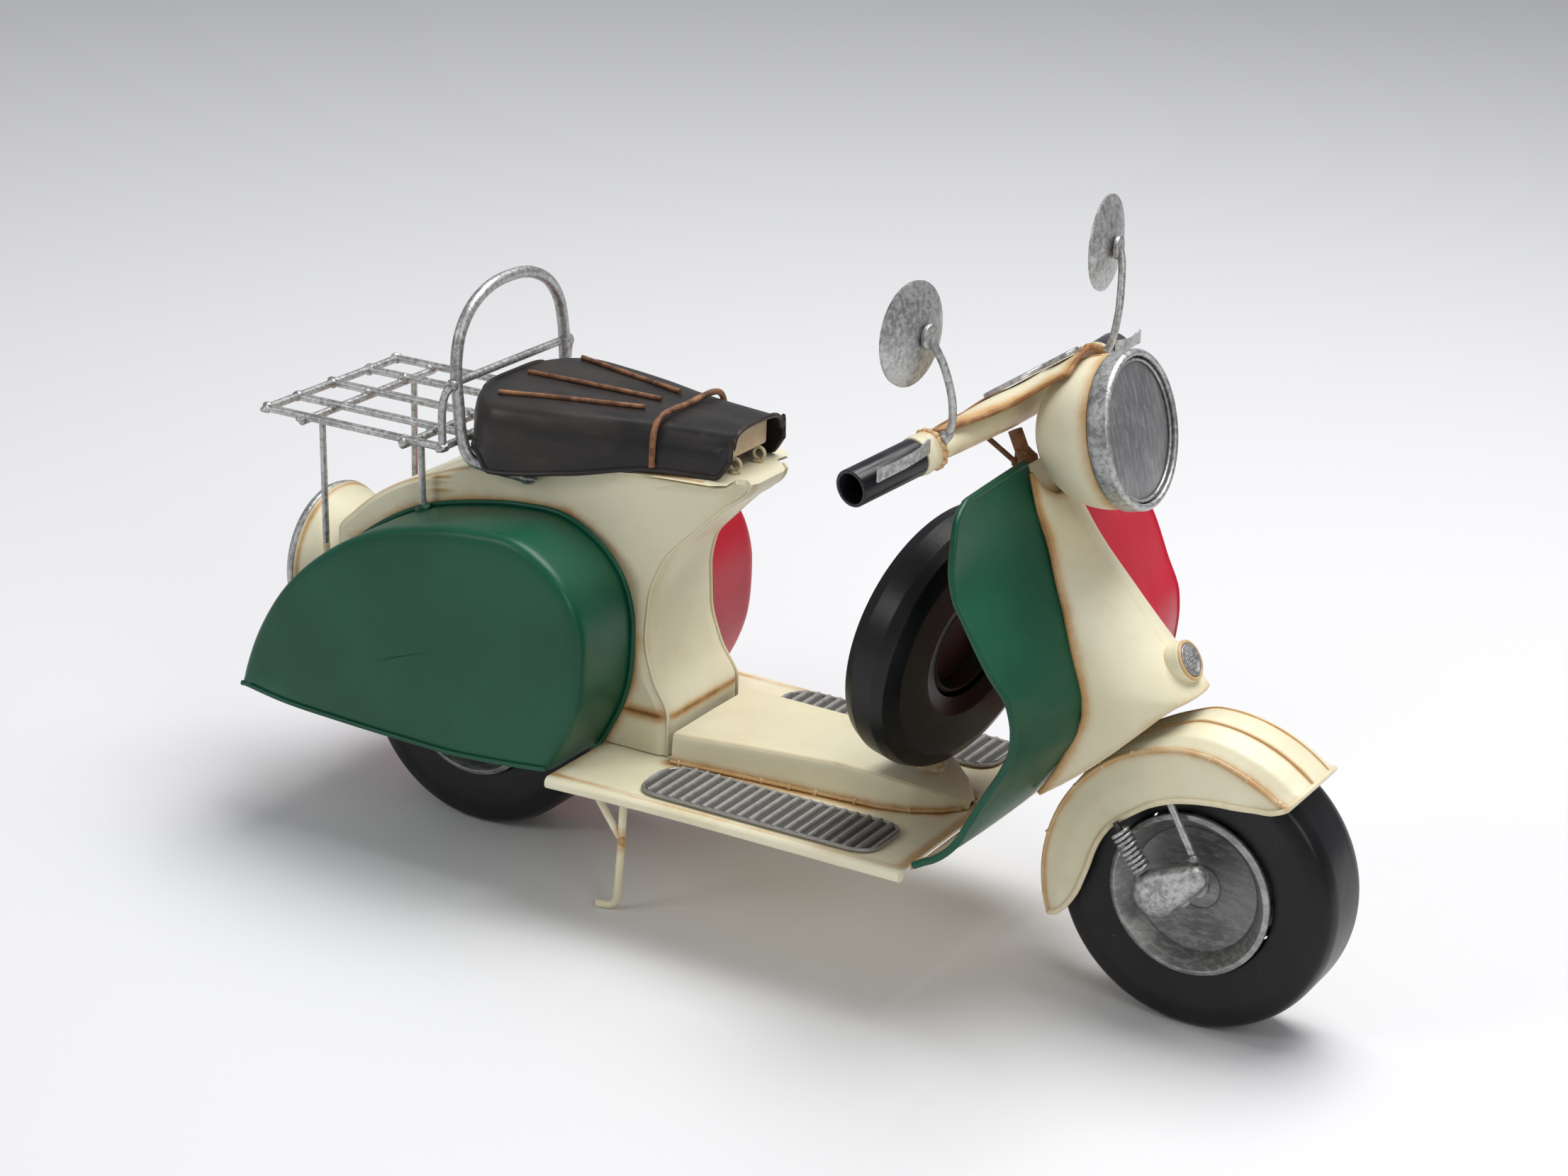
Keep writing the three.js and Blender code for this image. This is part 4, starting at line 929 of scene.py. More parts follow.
def add_floor():
    floor = Piece("floor_plate", "chassis", "cream", "floorboard")
    stations = np.linspace(FLOOR_REAR, FLOOR_FRONT, 62)
    shares = np.linspace(-1, 1, 54)
    grid = np.array([
        [(x, t * (76 + 3 * max(0, (150 - x) / 65)), FLOOR_TOP) for t in shares] for x in stations
    ])
    floor.add(sheet(grid[:, ::-1], -1.4))
    for _, sign in SIDES:
        roll = spline([(FLOOR_REAR, 79.2, 65), (118, 77.3, 65), (150, 76.2, 65), (FLOOR_FRONT, 76, 65)], 24)
        floor.add(tube(line_on_side(roll, sign), 2.9, 18, wobble=0.01))
        floor.seam(line_on_side([(85, 76, FLOOR_TOP), (265, 74, FLOOR_TOP)], sign), 1.6, 0.55)
        tunnel_foot = [(x, y, FLOOR_TOP) for x, y in ((123, 35), (160, 31), (225, 25), (252, 13))]
        floor.seam(line_on_side(tunnel_foot, sign), 3.4, 0.95)
    floor.seam([(86, y, FLOOR_TOP) for y in (-75, 75)], 1.8, 0.6)
    floor.seam([(264, y, FLOOR_TOP) for y in (-72, 72)], 2.4, 0.75)
    floor.make()


TUNNEL_TOP = [[123, 82], [160, 83.6], [205, 85], [225, 83.6], [240, 80.6], [252, 76], [260, 71]]
TUNNEL_HALF_WIDTH = [[123, 35], [160, 31], [225, 25], [240, 21], [252, 13], [260, 4]]


def add_tunnel():
    rows = []
    for x in np.linspace(TUNNEL_REAR, TUNNEL_FRONT, 70):
        top, side = look(TUNNEL_TOP, x), look(TUNNEL_HALF_WIDTH, x)
        half = [
            (side, 68.3), (side - 1.0, top - 1.8), (side - 1.5, top - 0.8), (side - 2.4, top - 0.1),
            (side - 3.6, top),
        ]
        half = np.array([(x, y, z) for y, z in half])
        row = np.vstack([half, [(x, 0, top + 0.3)], mirrored(half)[::-1]])
        rows.append(share_split(row, 6))
    grid = np.array(rows)
    tunnel = Piece("tunnel_skin", "chassis", "cream", "tunnel")
    tunnel.add(sheet(grid, -1.1))
    base = [(x, look(TUNNEL_HALF_WIDTH, x) + 0.8, 68.9) for x in np.linspace(TUNNEL_REAR, 258, 50)]
    for n, (_, sign) in enumerate(SIDES):
        line = line_on_side(base, sign)
        tunnel.add(tube(line, 0.9, 8))
        tunnel.seam(line, 1.8, 0.8)
        dots(tunnel, line, 9, 1.2, 40 + n)
        edge = [
            (x, sign * (look(TUNNEL_HALF_WIDTH, x) - 1.6), look(TUNNEL_TOP, x) - 0.6)
            for x in np.linspace(TUNNEL_REAR, 250, 40)
        ]
        tunnel.seam(edge, 1.0, 0.3)
    tunnel.add(lump((238, 0, 84), 5.2, 77, (1.2, 1, 0.8)), 0.3)
    tunnel.make(26)


MAT_REAR, MAT_FRONT = 127.0, 248.0
MAT_INNER, MAT_OUTER = 39, 72
MAT_CORNER, RIB_PITCH, RIB_HEIGHT = 12.0, 6.0, 1.9
MAT_COLUMNS = 20


def add_mats():
    rows, wear = [], []
    for x in np.arange(MAT_REAR, MAT_FRONT + 0.01, 0.75):
        into = MAT_CORNER - min(x - MAT_REAR, MAT_FRONT - x, MAT_CORNER)
        trim = MAT_CORNER - math.sqrt(MAT_CORNER ** 2 - min(into, MAT_CORNER) ** 2)
        rib = 0.5 + 0.5 * math.cos(2 * math.pi * (x - MAT_REAR) / RIB_PITCH)
        height = 68.9 + RIB_HEIGHT * rib
        rows.append([(x, y, height) for y in np.linspace(MAT_INNER + trim, MAT_OUTER - trim, MAT_COLUMNS)])
        wear.append(rib)
    outline = rounded([
        (MAT_REAR, MAT_INNER), (MAT_FRONT, MAT_INNER), (MAT_FRONT, MAT_OUTER), (MAT_REAR, MAT_OUTER),
    ], MAT_CORNER, 8)
    for side, sign in SIDES:
        mat = Piece(f"mat_{side}", "chassis", "mat", f"floor_mat_{side}")
        mat.add(on_side(sheet(rows, 0.7), sign))
        mat.wear = [np.tile(np.repeat(wear, MAT_COLUMNS), 2)]
        mat.make(50)
        rim = Piece(f"mat_{side}_rim", "chassis", "mat")
        rim.add(tube(line_on_side([(x, y, 69.2) for x, y in outline], sign), 0.9, 8, closed=True), 0.8)
        rim.make()


def add_stand():
    stand = Piece("stand_wire", "chassis", "cream", "stand")
    leg = [(114, -60, 65.5), (112.5, -60, 30), (110.6, -60, 5), (108, -60.6, 2.2), (101, -62, 1.9)]
    stand.add(tube(evenly(rounded(leg, 6, 6, closed=False), 2), 1.9, 14, wobble=0.02))
    stand.add(bar((92, -60, 64.5), (112.6, -60, 36), 1.7))
    stand.add(lump((112.6, -60, 36), 2.6, 5), 0.6)
    stand.add(lump((114, -60, 64.6), 3.0, 6), 0.5)
    stand.seam([(112.6, -60, 40), (112.6, -60, 32)], 3, 0.7)
    stand.make()


add_floor()
add_tunnel()
add_mats()
add_stand()


# ---------------------------------------------------------------- leg shield and front cover
RIM_X = [[68, 268], [72, 271.5], [78, 282], [87, 291], [98, 297], [115, 306], [126, 312], [137, 316],
         [146, 316.5], [157, 315], [171, 307], [190, 297], [201, 290.5], [211, 288], [224, 287], [236, 284]]
RIM_Y = [[68, 76], [98, 78], [137, 79], [157, 82], [171, 85.5], [190, 88], [211, 87], [224, 84.5], [231, 80],
         [236, 70]]
SHIELD_X = [[68, 267], [78, 284], [87, 293.5], [97, 302.5], [110, 311.5], [120, 317.5], [133, 323.5],
            [145, 324], [155, 320.6], [166, 315.4], [179, 309.4], [193, 302.4], [206, 296.4], [219, 289.8],
            [236, 281]]
COVER_EDGE_X = [[97, 306.5], [104, 311], [117, 318], [130, 323.5], [139, 326], [147, 325], [162, 319],
                [179, 311.6], [193, 304.8], [206, 299], [219, 292], [235, 286]]
COVER_HALF_WIDTH = [[97, 34], [145, 33], [165, 30], [185, 25], [203, 20.5], [219, 17.5], [235, 15]]
COVER_RIDGE_X = [[147, 364.5], [155, 356], [167, 343.5], [176, 335], [187, 325], [199, 313.5], [210, 303],
                 [217, 297], [225, 292], [235, 288]]
PANEL_HALF_WIDTH = [[68, 74], [72, 71], [78, 61], [87, 46], [97, 31], [110, 29], [150, 27], [205, 15],
                    [236, 10]]


def shield_x(half_y, z):
    inner = along(COVER_HALF_WIDTH, [max(z, 97)])[0]
    share = max(0.0, (half_y - inner) / (along(RIM_Y, [z])[0] - inner))
    middle = along(SHIELD_X, [z])[0]
    return middle + (along(RIM_X, [z])[0] - middle) * share ** 1.2


def add_shield():
    levels = np.concatenate([np.arange(72.0, 231, 2.4), [231.5, 233, 234.4, 235.4, 236]])
    for side, sign in SIDES:
        slot = SIDE_PAINT[side]
        rows = []
        for z in levels:
            inner, rim = along(PANEL_HALF_WIDTH, [z])[0] + 0.3, along(RIM_Y, [z])[0]
            rows.append([
                (shield_x(y, z), y, z) for y in inner + (rim - inner) * np.linspace(0, 1, 30)
            ])
        grid = np.array(rows)
        wing = Piece(f"shield_{side}", "chassis", slot, f"leg_shield_{side}")
        mesh = sheet(grid, 1.1)
        wing.add(on_side(mesh, sign))
        wing.make()
        bead = Piece(f"shield_{side}_wires", "chassis", slot)
        rim = np.vstack([grid[:, -1], grid[-1, ::-1][1:]])
        bead.add(tube(line_on_side(evenly(rim, 2.5), sign), 1.7, 12, wobble=0.01))
        fold_z = np.linspace(226, 140, 30)
        fold_y = np.interp(fold_z, [140, 160, 182, 205, 226], [74.6, 74.8, 75.4, 75.4, 73.8])
        fold = np.array([(shield_x(y, z) + 0.1, y, z) for y, z in zip(fold_y, fold_z)])
        bead.add(tube(line_on_side(fold, sign), 0.7, 8))
        bead.make()


def add_panel():
    rows = []
    for z in np.concatenate([[68.6, 70], np.arange(72.0, 236.1, 2.4)]):
        side = along(PANEL_HALF_WIDTH, [z])[0]
        rows.append([(shield_x(abs(t) * side, z), t * side, z) for t in np.linspace(-1, 1, 41)])
    grid = np.array(rows)
    panel = Piece("shield_panel", "chassis", "cream", "leg_shield_panel")
    panel.add(sheet(grid, 1.1))
    for column in (0, -1):
        edge = grid[:14, column]
        panel.add(tube(edge + [0.6, 0, 0.4], 1.0, 8))
        panel.seam(edge, 2.4, 0.7)
    panel.seam([(268, -72, 69), (268, 72, 69)], 2.2, 0.8)
    panel.make()


def cover_grid(rows, columns):
    grid = []
    for row in np.linspace(0, 1, rows):
        line = []
        for share in np.linspace(-1, 1, columns):
            across = abs(share)
            hem = 147.5 - 48 * across ** 4
            top = 222 + 12 * across ** 2
            z = top + (hem - top) * row
            edge, ridge = along(COVER_EDGE_X, [z])[0], along(COVER_RIDGE_X, [z])[0]
            x = edge + (ridge - edge) * (1 - across ** (1.8 + 0.9 * row))
            line.append((x, share * along(COVER_HALF_WIDTH, [z])[0], z))
        grid.append(line)
    return np.array(grid)


def add_cover():
    grid = cover_grid(44, 61)
    cover = Piece("cover_skin", "chassis", "cream", "front_cover")
    cover.add(sheet(grid, -1.1))
    for column in (0, -1):
        cover.seam(grid[:, column], 2.6, 0.85)
        cover.add(tube(grid[:, column], 1.0, 8))
    cover.seam(grid[0], 2.2, 0.7)
    cover.seam(grid[-1], 1.6, 0.5)
    cover.seam(grid[:34, 30], 1.4, 0.35)
    cover.add(tube(evenly(grid[-1], 2), 1.2, 10))
    cover.add(tube(evenly(grid[0], 2), 0.9, 10))
    cover.make()


add_shield()
add_panel()
add_cover()


def add_horn():
    axis, foot = unit((0.86, 0, 0.51)), np.array((352.4, 0, 157.4))
    cup = Piece("horn_body", "chassis", "cream", "horn_cup")
    profile = [[0, -3], [8.9, -3], [9.3, 6], [8.8, 7.2], [7.6, 7.2], [7.6, 4.4], [0, 4.4]]
    cup.add(turned(profile, axis, foot, 0.4, 64))
    side, up = Y_AXIS, np.cross(axis, Y_AXIS)
    lip = circle(foot + axis * 7.0, side, up, 8.2, full_turn(48))
    cup.add(tube(lip, 0.9, 8, closed=True), 0.4)
    cup.seam(lip - axis * 8, 1.6, 0.8)
    cup.make()
    plate = Piece("horn_mesh", "chassis", "silver", "horn_grille")
    plate.add(turned([[0, 4.9], [7.2, 4.9], [7.2, 8], [6.2, 8.2], [4.4, 7.2], [0, 7.2]], axis, foot, 0.3, 48))
    middle = foot + axis * 7.3
    for offset in (-3, -1.5, 0, 1.5, 3):
        reach = math.sqrt(4.4 ** 2 - offset ** 2)
        plate.add(bar(middle + side * offset - up * reach, middle + side * offset + up * reach, 0.32, 6))
        plate.add(bar(middle + up * offset - side * reach, middle + up * offset + side * reach, 0.32, 6))
    plate.make()


def add_spare():
    tilt, turn = math.radians(10), math.radians(-10)
    axis = unit((math.cos(tilt) * math.cos(turn), math.cos(tilt) * math.sin(turn), -math.sin(tilt)))
    centre = (245.4, 0, 147.2)
    outside = [[61.5, 5], [59.5, 10.5], [52, 14], [33, 14], [25, 11]]
    inside = [[60.3, 4.4], [58.6, 9.6], [51.6, 12.8], [33.3, 12.8], [26, 10]]
    profile = outside[::-1] + [[r, -h] for r, h in outside + inside[::-1]] + inside
    tyre = Piece("spare_shell", "chassis", "tyre", "spare_tyre")
    tyre.add(turned(profile, axis, centre, 0.6, 140))
    tyre.make(30)
    rim = Piece("spare_hub", "chassis", "tyre", "spare_rim")
    hub = [[0, -6], [20, -6], [24.6, -9], [24.6, 9], [22, 10], [19, 3], [0, 3]]
    rim.add(turned(hub, axis, centre, 0.5, 96))
    rim.make()


add_horn()
add_spare()


# ---------------------------------------------------------------- seat
SEAT_HALF_WIDTH = [[11.4, 26], [13, 32], [16, 37], [22, 42], [30, 45], [50, 42], [72, 37], [105, 27],
                   [143, 20]]
SEAT_HEM = [[11.4, 201], [22, 200], [29, 193.5], [68, 198], [109, 204.4], [136, 204.6], [143, 213]]
SEAT_TOP = 226.0
STRAP_X = 107
HINGE_X, HINGE_PIN_Z = 138, 207.6


def seat_section(x):
    side, hem = along(SEAT_HALF_WIDTH, [x])[0], along(SEAT_HEM, [x])[0]
    half = [
        (side + 3, hem), (side + 2.4, hem + 10), (side + 1.4, SEAT_TOP - 8), (side - 1.5, SEAT_TOP - 2.4),
        (side - 7, SEAT_TOP - 0.4),
    ]
    half = np.array([(x, y, z) for y, z in half], float)
    return np.vstack([half, [(x, 0, SEAT_TOP + 0.2)], mirrored(half)[::-1]])


def add_seat():
    stations = np.concatenate([[11.4, 11.8, 12.4, 13.2], np.arange(14.5, 143, 2.2), [143]])
    grid = np.array([spline(seat_section(x), 8) for x in stations])
    seat = Piece("seat_shell", "seat", "seat", "seat")
    seat.add(sheet(grid, -1.2))
    back = evenly(grid[0], 2)
    hem = back[0][2]
    wall = np.array([back * [1, 1, share] + [0, 0, hem * (1 - share)] for share in np.linspace(0, 1, 12)])
    seat.add(sheet(wall, -1.0))
    for column in (0, -1):
        seat.add(tube(grid[:, column], 1.2, 10), 0.2)
    seat.add(tube(evenly(grid[-1], 2), 1.2, 10), 0.3)
    seat.add(tube(evenly(grid[0], 2), 1.2, 10), 0.2)
    seat.make(34)
    ribs = Piece("seat_ribs", "seat", "rust")
    outer_rib = [(26, 34, 227), (50, 26.5, 227.2), (92.7, 14.6, 227.2)]
    for line in (outer_rib, mirrored(outer_rib), [(19, 0, 227), (50, 0, 227.3), (92, 0, 227.2)]):
        ribs.add(tube(evenly(line, 3), 1.15, 12, wobble=0.05))
    ribs.make()
    strap = Piece("seat_strap_wire", "seat", "rust", "seat_strap")
    side = along(SEAT_HALF_WIDTH, [STRAP_X])[0] + 4.4
    half = np.array([(STRAP_X, y, z) for y, z in (
        (side, 206), (side, 212), (side - 0.8, 220), (side - 3.4, 225.4), (side - 9, SEAT_TOP + 2.0),
    )])
    route = np.vstack([half, [(STRAP_X, 0, SEAT_TOP + 2.1)], mirrored(half)[::-1]])
    strap.add(tube(spline(route, 8), 1.5, 12, wobble=0.04))
    strap.make()


def add_seat_hinge():
    plate = Piece("hinge_plate", "seat", "cream", "seat_hinge_plate")
    outline = rounded([(-15, 211.7), (15, 211.7), (15, 223), (-15, 223)], 1.5, 4)
    grid = np.array([[(HINGE_X + d, y, z) for y, z in outline] for d in (-0.65, 0.65)])
    verts, faces = skin(grid, wrap_columns=True)
    count = len(outline)
    faces = [f[::-1] for f in faces] + [tuple(range(count)), tuple(count + j for j in reversed(range(count)))]
    plate.add((verts, faces), 0.35)
    plate.make()
    for side, sign in SIDES:
        eye = Piece(f"hinge_eye_{side}", "chassis", "cream", f"seat_hinge_eye_{side}")
        y = sign * 10.3
        loop = circle((HINGE_X, y, HINGE_PIN_Z), X_AXIS, Z_AXIS, 2.85, full_turn(28))
        eye.add(tube(loop, 0.85, 10, closed=True), 0.25)
        eye.add(lump((HINGE_X, y, 204.0), 1.9, 31 + sign, (1.5, 1, 0.6)), 0.3)
        eye.make()


add_seat()
add_seat_hinge()


# ---------------------------------------------------------------- rack, posts and grab loop
ROD_RADIUS, POST_RADIUS = 1.9, 1.6


def add_rack():
    rack = Piece("rack_rods", "chassis", "silver", "luggage_rack")
    rear, front, edge, z = -95.0, 6.4, 50.5, 201.0
    rods = (-edge, -27.6, 0, 27.6, edge)
    for y in rods:
        rack.add(bar((rear, y, z), (front, y, z), ROD_RADIUS))
    for x, drop in ((rear, 0), (front, 0), (-74, -2.6), (-15, -2.6)):
        rack.add(bar((x, -edge - 1, z + drop), (x, edge + 1, z + drop), ROD_RADIUS))
        for n, y in enumerate(rods):
            rack.add(lump((x, y, z + drop * 0.5), 2.9, int(abs(x)) + n, (1.05, 1.05, 0.9)))
    for _, sign in SIDES:
        riser = [(front, edge, 200), (front, edge, 219), (7.6, 49.8, 226), (9.4, 48.4, 229.6)]
        rack.add(tube(line_on_side(spline(riser, 8), sign), ROD_RADIUS, 14, wobble=0.015))
    rack.make()
    for side, sign in SIDES:
        rear_post = Piece(f"post_rear_{side}", "chassis", "silver", f"rack_post_rear_{side}")
        rear_post.add(bar((-74, sign * 36, 197.4), (-73.4, sign * 35.3, 134), POST_RADIUS))
        rear_post.add(lump((-74, sign * 36, 197), 2.4, 61 + sign))
        rear_post.make()
        foot = Piece(f"post_foot_{side}", "chassis", "cream")
        foot.add(bar((-73.4, sign * 35.3, 134), (-73.3, sign * 35.2, 121.6), 1.75), 0.3)
        foot.make()
        front_post = Piece(f"post_front_{side}", "chassis", "silver", f"rack_post_front_{side}")
        front_post.add(bar((-15, sign * 38, 197.4), (-14, sign * 38, 164.6), POST_RADIUS))
        front_post.add(lump((-15, sign * 38, 197), 2.4, 71 + sign))
        front_post.make()


def add_loop():
    loop = Piece("loop_wire", "chassis", "silver", "grab_loop")
    leg = np.array([
        (46, 35.4, 189.6), (33, 37.4, 191), (24, 41.5, 193.2), (16.5, 43, 195.5), (12, 43, 204),
        (10, 43, 220), (8.8, 43, 238), (8.4, 39.5, 252), (8.2, 31, 262.4), (8, 17, 269.2),
    ])
    route = np.vstack([leg, [(8, 0, 271.2)], mirrored(leg)[::-1]])
    loop.add(tube(evenly(spline(route, 10), 2.5), 2.8, 18, wobble=0.01))
    for sign in (1, -1):
        loop.add(lump((9.4, sign * 45.8, 230.2), 3.0, 81 + sign, (1, 1.2, 0.9)))
        loop.add(lump((44, sign * 35.4, 189.4), 3.2, 83 + sign, (1.5, 1, 0.8)))
    loop.make()
    cross = Piece("loop_crossbar", "chassis", "silver", "grab_loop_crossbar")
    cross.add(bar((8.4, -39.7, 230.3), (8.4, 39.7, 230.3), ROD_RADIUS))
    cross.make()


add_rack()
add_loop()


# ---------------------------------------------------------------- front fender and suspension
CROWN_RADIUS = [[51, 75.5], [66, 76], [81, 76.2], [92, 76], [104, 73], [118, 70.8], [129, 70.3], [145, 69.3],
                [170, 68.4], [200, 68]]
CREASE_RADIUS = [[51, 67], [56, 64.8], [69, 64.9], [87, 66.2], [103, 66.4], [118, 66.6], [140, 66.4],
                 [165, 66.4], [180, 66.6], [200, 66.8]]
HEM_RADIUS = [[51, 65.8], [54, 60], [58, 56.6], [65, 52.5], [73, 49.7], [84, 46.8], [96, 45], [111, 44],
              [128, 43], [145, 44], [170, 44.5], [186, 48], [197, 56], [200, 62]]


def fender_line(degrees):
    """Half section of the fender at an angle round the axle, from the hem to the crown."""
    angle = math.radians(degrees)
    crown, crease = along(CROWN_RADIUS, [degrees])[0], along(CREASE_RADIUS, [degrees])[0]
    hem = min(along(HEM_RADIUS, [degrees])[0], crease - 1.2)
    crease_y = along([[98, 24], [110, 25.4]], [degrees])[0]
    hem_y = crease_y + along([[60, 0.6], [70, 2.6]], [degrees])[0]
    half = [(hem_y, hem), (hem_y - 0.6, (hem + crease) / 2), (crease_y, crease),
            (19, crease + (crown - crease) * 0.55), (8.6, crown - 0.6), (0, crown)]
    return np.array([
        (WHEELBASE + r * math.cos(angle), y, WHEEL_RADIUS + r * math.sin(angle)) for y, r in half
    ])


def add_fender():
    angles = np.concatenate([np.arange(51, 60, 1.0), np.arange(60, 200, 2.0), [200]])
    rows = []
    for degrees in angles:
        half = share_split(fender_line(degrees), 7)
        rows.append(np.vstack([half, mirrored(half)[::-1][1:]]))
    grid = np.array(rows)
    fender = Piece("fender_skin", "steering", "cream", "front_fender")
    fender.add(sheet(grid, 1.1))
    crease, seam_column = 14, 28
    last = grid.shape[1] - 1
    for n, column in enumerate((crease, last - crease)):
        line = grid[:, column]
        fender.add(tube(evenly(line, 2.5), 0.95, 8))
        fender.seam(line, 1.8, 0.7)
        dots(fender, line, 7.5, 1.15, 90 + n, 0.75)
    for column in (seam_column, last - seam_column):
        line = grid[:, column]
        fender.add(tube(evenly(line, 2.5), 0.55, 8), 0.3)
        fender.seam(line, 1.3, 0.7)
    outline = np.vstack([grid[:, 0], grid[-1], grid[::-1, -1], grid[0, ::-1]])
    fender.add(tube(evenly(outline, 2.5, closed=True), 1.3, 12, closed=True), 0.05)
    fender.seam(outline, 1.6, 0.45)
    fender.make(28)


def add_suspension():
    link = Piece("link_pillow", "steering", "silver", "suspension_link_right")
    outline = []
    for centre, radius, start, end in (((380, 77), 6.4, -40, 110), ((364, 65.5), 10.4, 120, 320)):
        angles = np.radians(np.linspace(start, end, 30))
        outline.extend(circle(centre, X_AXIS[:2], Y_AXIS[:2], radius, angles))
    outline = evenly(outline, 1.4, closed=True)
    layers = [(-27.6, 0), (-31.2, 0), (-32.4, 0.5), (-33.6, 1.4), (-34.5, 2.8), (-35.1, 4.2), (-35.4, 5.6)]
    verts, faces = skin(np.array([set_at(inset_ring(outline, d), y) for y, d in layers]), wrap_columns=True)
    columns = len(outline)
    faces.append(tuple(reversed(range(columns))))
    faces.append(tuple((len(layers) - 1) * columns + j for j in range(columns)))
    link.add((verts, faces))
    link.make(50)

    coil = Piece("spring_coil", "steering", "silver", "suspension_spring_right")
    start, end = np.array([345.4, -31, 90.4]), np.array([357, -31, 74.8])
    axis = unit(end - start)
    coils, coil_radius = 9, 3.8
    turns = np.linspace(0, coils, 260)
    centres = start + (end - start) * turns[:, None] / coils
    path = circle(centres, Y_AXIS, np.cross(axis, Y_AXIS), coil_radius, 2 * math.pi * turns)
    coil.add(tube(path, 0.85, 8))
    coil.add(bar(start - axis * 4, end, 1.3), 0.9)
    coil.make()

    strut = Piece("strut_rod", "steering", "silver", "suspension_strut_right")
    strut.add(bar((364.6, -24.6, 105.8), (380, -30.2, 85.4), 1.7))
    strut.add(lump((379.4, -30, 86), 2.6, 13), 0.4)
    strut.make()


add_fender()
add_suspension()


# ---------------------------------------------------------------- headlamp
LAMP_AXIS = np.array([math.cos(math.radians(13.7)), 0, math.sin(math.radians(13.7))])
LAMP_CENTRE = np.array([330.0, 0, 257.7])
BOWL_RADIUS, BOWL_DEPTH, BOWL_MOUTH = 32.8, 32.4, -14.6


def bowl_arc(margin):
    """Quarter ellipse of the bowl as [radius, distance along the axis]."""
    return [
        [(BOWL_RADIUS + margin) * math.sin(t), BOWL_MOUTH - (BOWL_DEPTH + margin) * math.cos(t)]
        for t in np.linspace(0, math.pi / 2, 26)
    ]


def add_headlamp():
    profile = bowl_arc(0) + [[BOWL_RADIUS, -10.4], [31, -10.4]] + bowl_arc(-1.4)[::-1]
    profile[0][0] = profile[-1][0] = 0.01
    bowl = Piece("lamp_bowl", "steering", "cream", "headlamp_bowl")
    bowl.add(lathe(profile, LAMP_AXIS, LAMP_CENTRE, 128))
    up = np.cross(LAMP_AXIS, Y_AXIS)
    for way in (up, -up):
        line = [LAMP_CENTRE + LAMP_AXIS * h + way * r for r, h in bowl_arc(0.1)]
        bowl.add(tube(np.array(line), 0.45, 8), 0.2)
        bowl.seam(line, 1.5, 0.6)
    angles = full_turn(90, closed=True)
    bowl.seam(circle(LAMP_CENTRE - LAMP_AXIS * 11.5, Y_AXIS, up, BOWL_RADIUS, angles), 2.4, 0.75)
    bowl.make()
    bezel = Piece("lamp_bezel", "steering", "silver", "headlamp_bezel")
    bezel.add(turned([
        [31.4, -10], [33.4, -10], [34, -8.5], [34, -1.5], [32.5, 0], [30.8, -0.8], [31.2, -4],
    ], LAMP_AXIS, LAMP_CENTRE, 0.8, 128))
    bezel.make()
    lens = Piece("lamp_disc", "steering", "lens", "headlamp_lens")
    crown = [[0, -7], [30.6, -6.6], [30.4, -3.6]]
    crown += [[30 * t, -1.4 - 2.1 * t ** 2] for t in np.linspace(0.98, 0, 16)]
    crown[0][0] = crown[-1][0] = 0.01
    lens.add(lathe(crown, LAMP_AXIS, LAMP_CENTRE, 128))
    lens.make()
    ring = Piece("lamp_inner_ring", "steering", "silver")
    wire = circle(LAMP_CENTRE - LAMP_AXIS * 2.6, Y_AXIS, up, 29.6, angles[:-1])
    ring.add(tube(wire, 0.7, 10, closed=True))
    ring.make()


add_headlamp()


# ---------------------------------------------------------------- handlebar, headset and column
COLLAR = np.array([268.0, 82, 256.6])
GRIP_END = np.array([258.5, 121.5, 251])
GRIP_AXIS = unit(GRIP_END - COLLAR)
COLLAR_PROFILE = [
    [0, -7.5], [6.4, -7.3], [7.6, -6.6], [8.5, -4.6], [8.2, -2], [8.8, 0], [8.4, 1.6], [8.5, 3.1], [0, 3.2],
]
SLOPE_REAR = np.array([256.0, 0, 257.4])
SLOPE_FRONT = np.array([302.0, 0, 288.4])
HEADSET_HALF_WIDTH = [[0, 22], [0.12, 45], [0.26, 70], [0.42, 50], [0.6, 33], [0.8, 24], [1, 17]]
HEADSET_EDGE_Z = [[0, 256], [0.12, 260], [0.26, 263.4], [0.42, 264.4], [0.6, 268], [0.8, 275], [1, 281.5]]


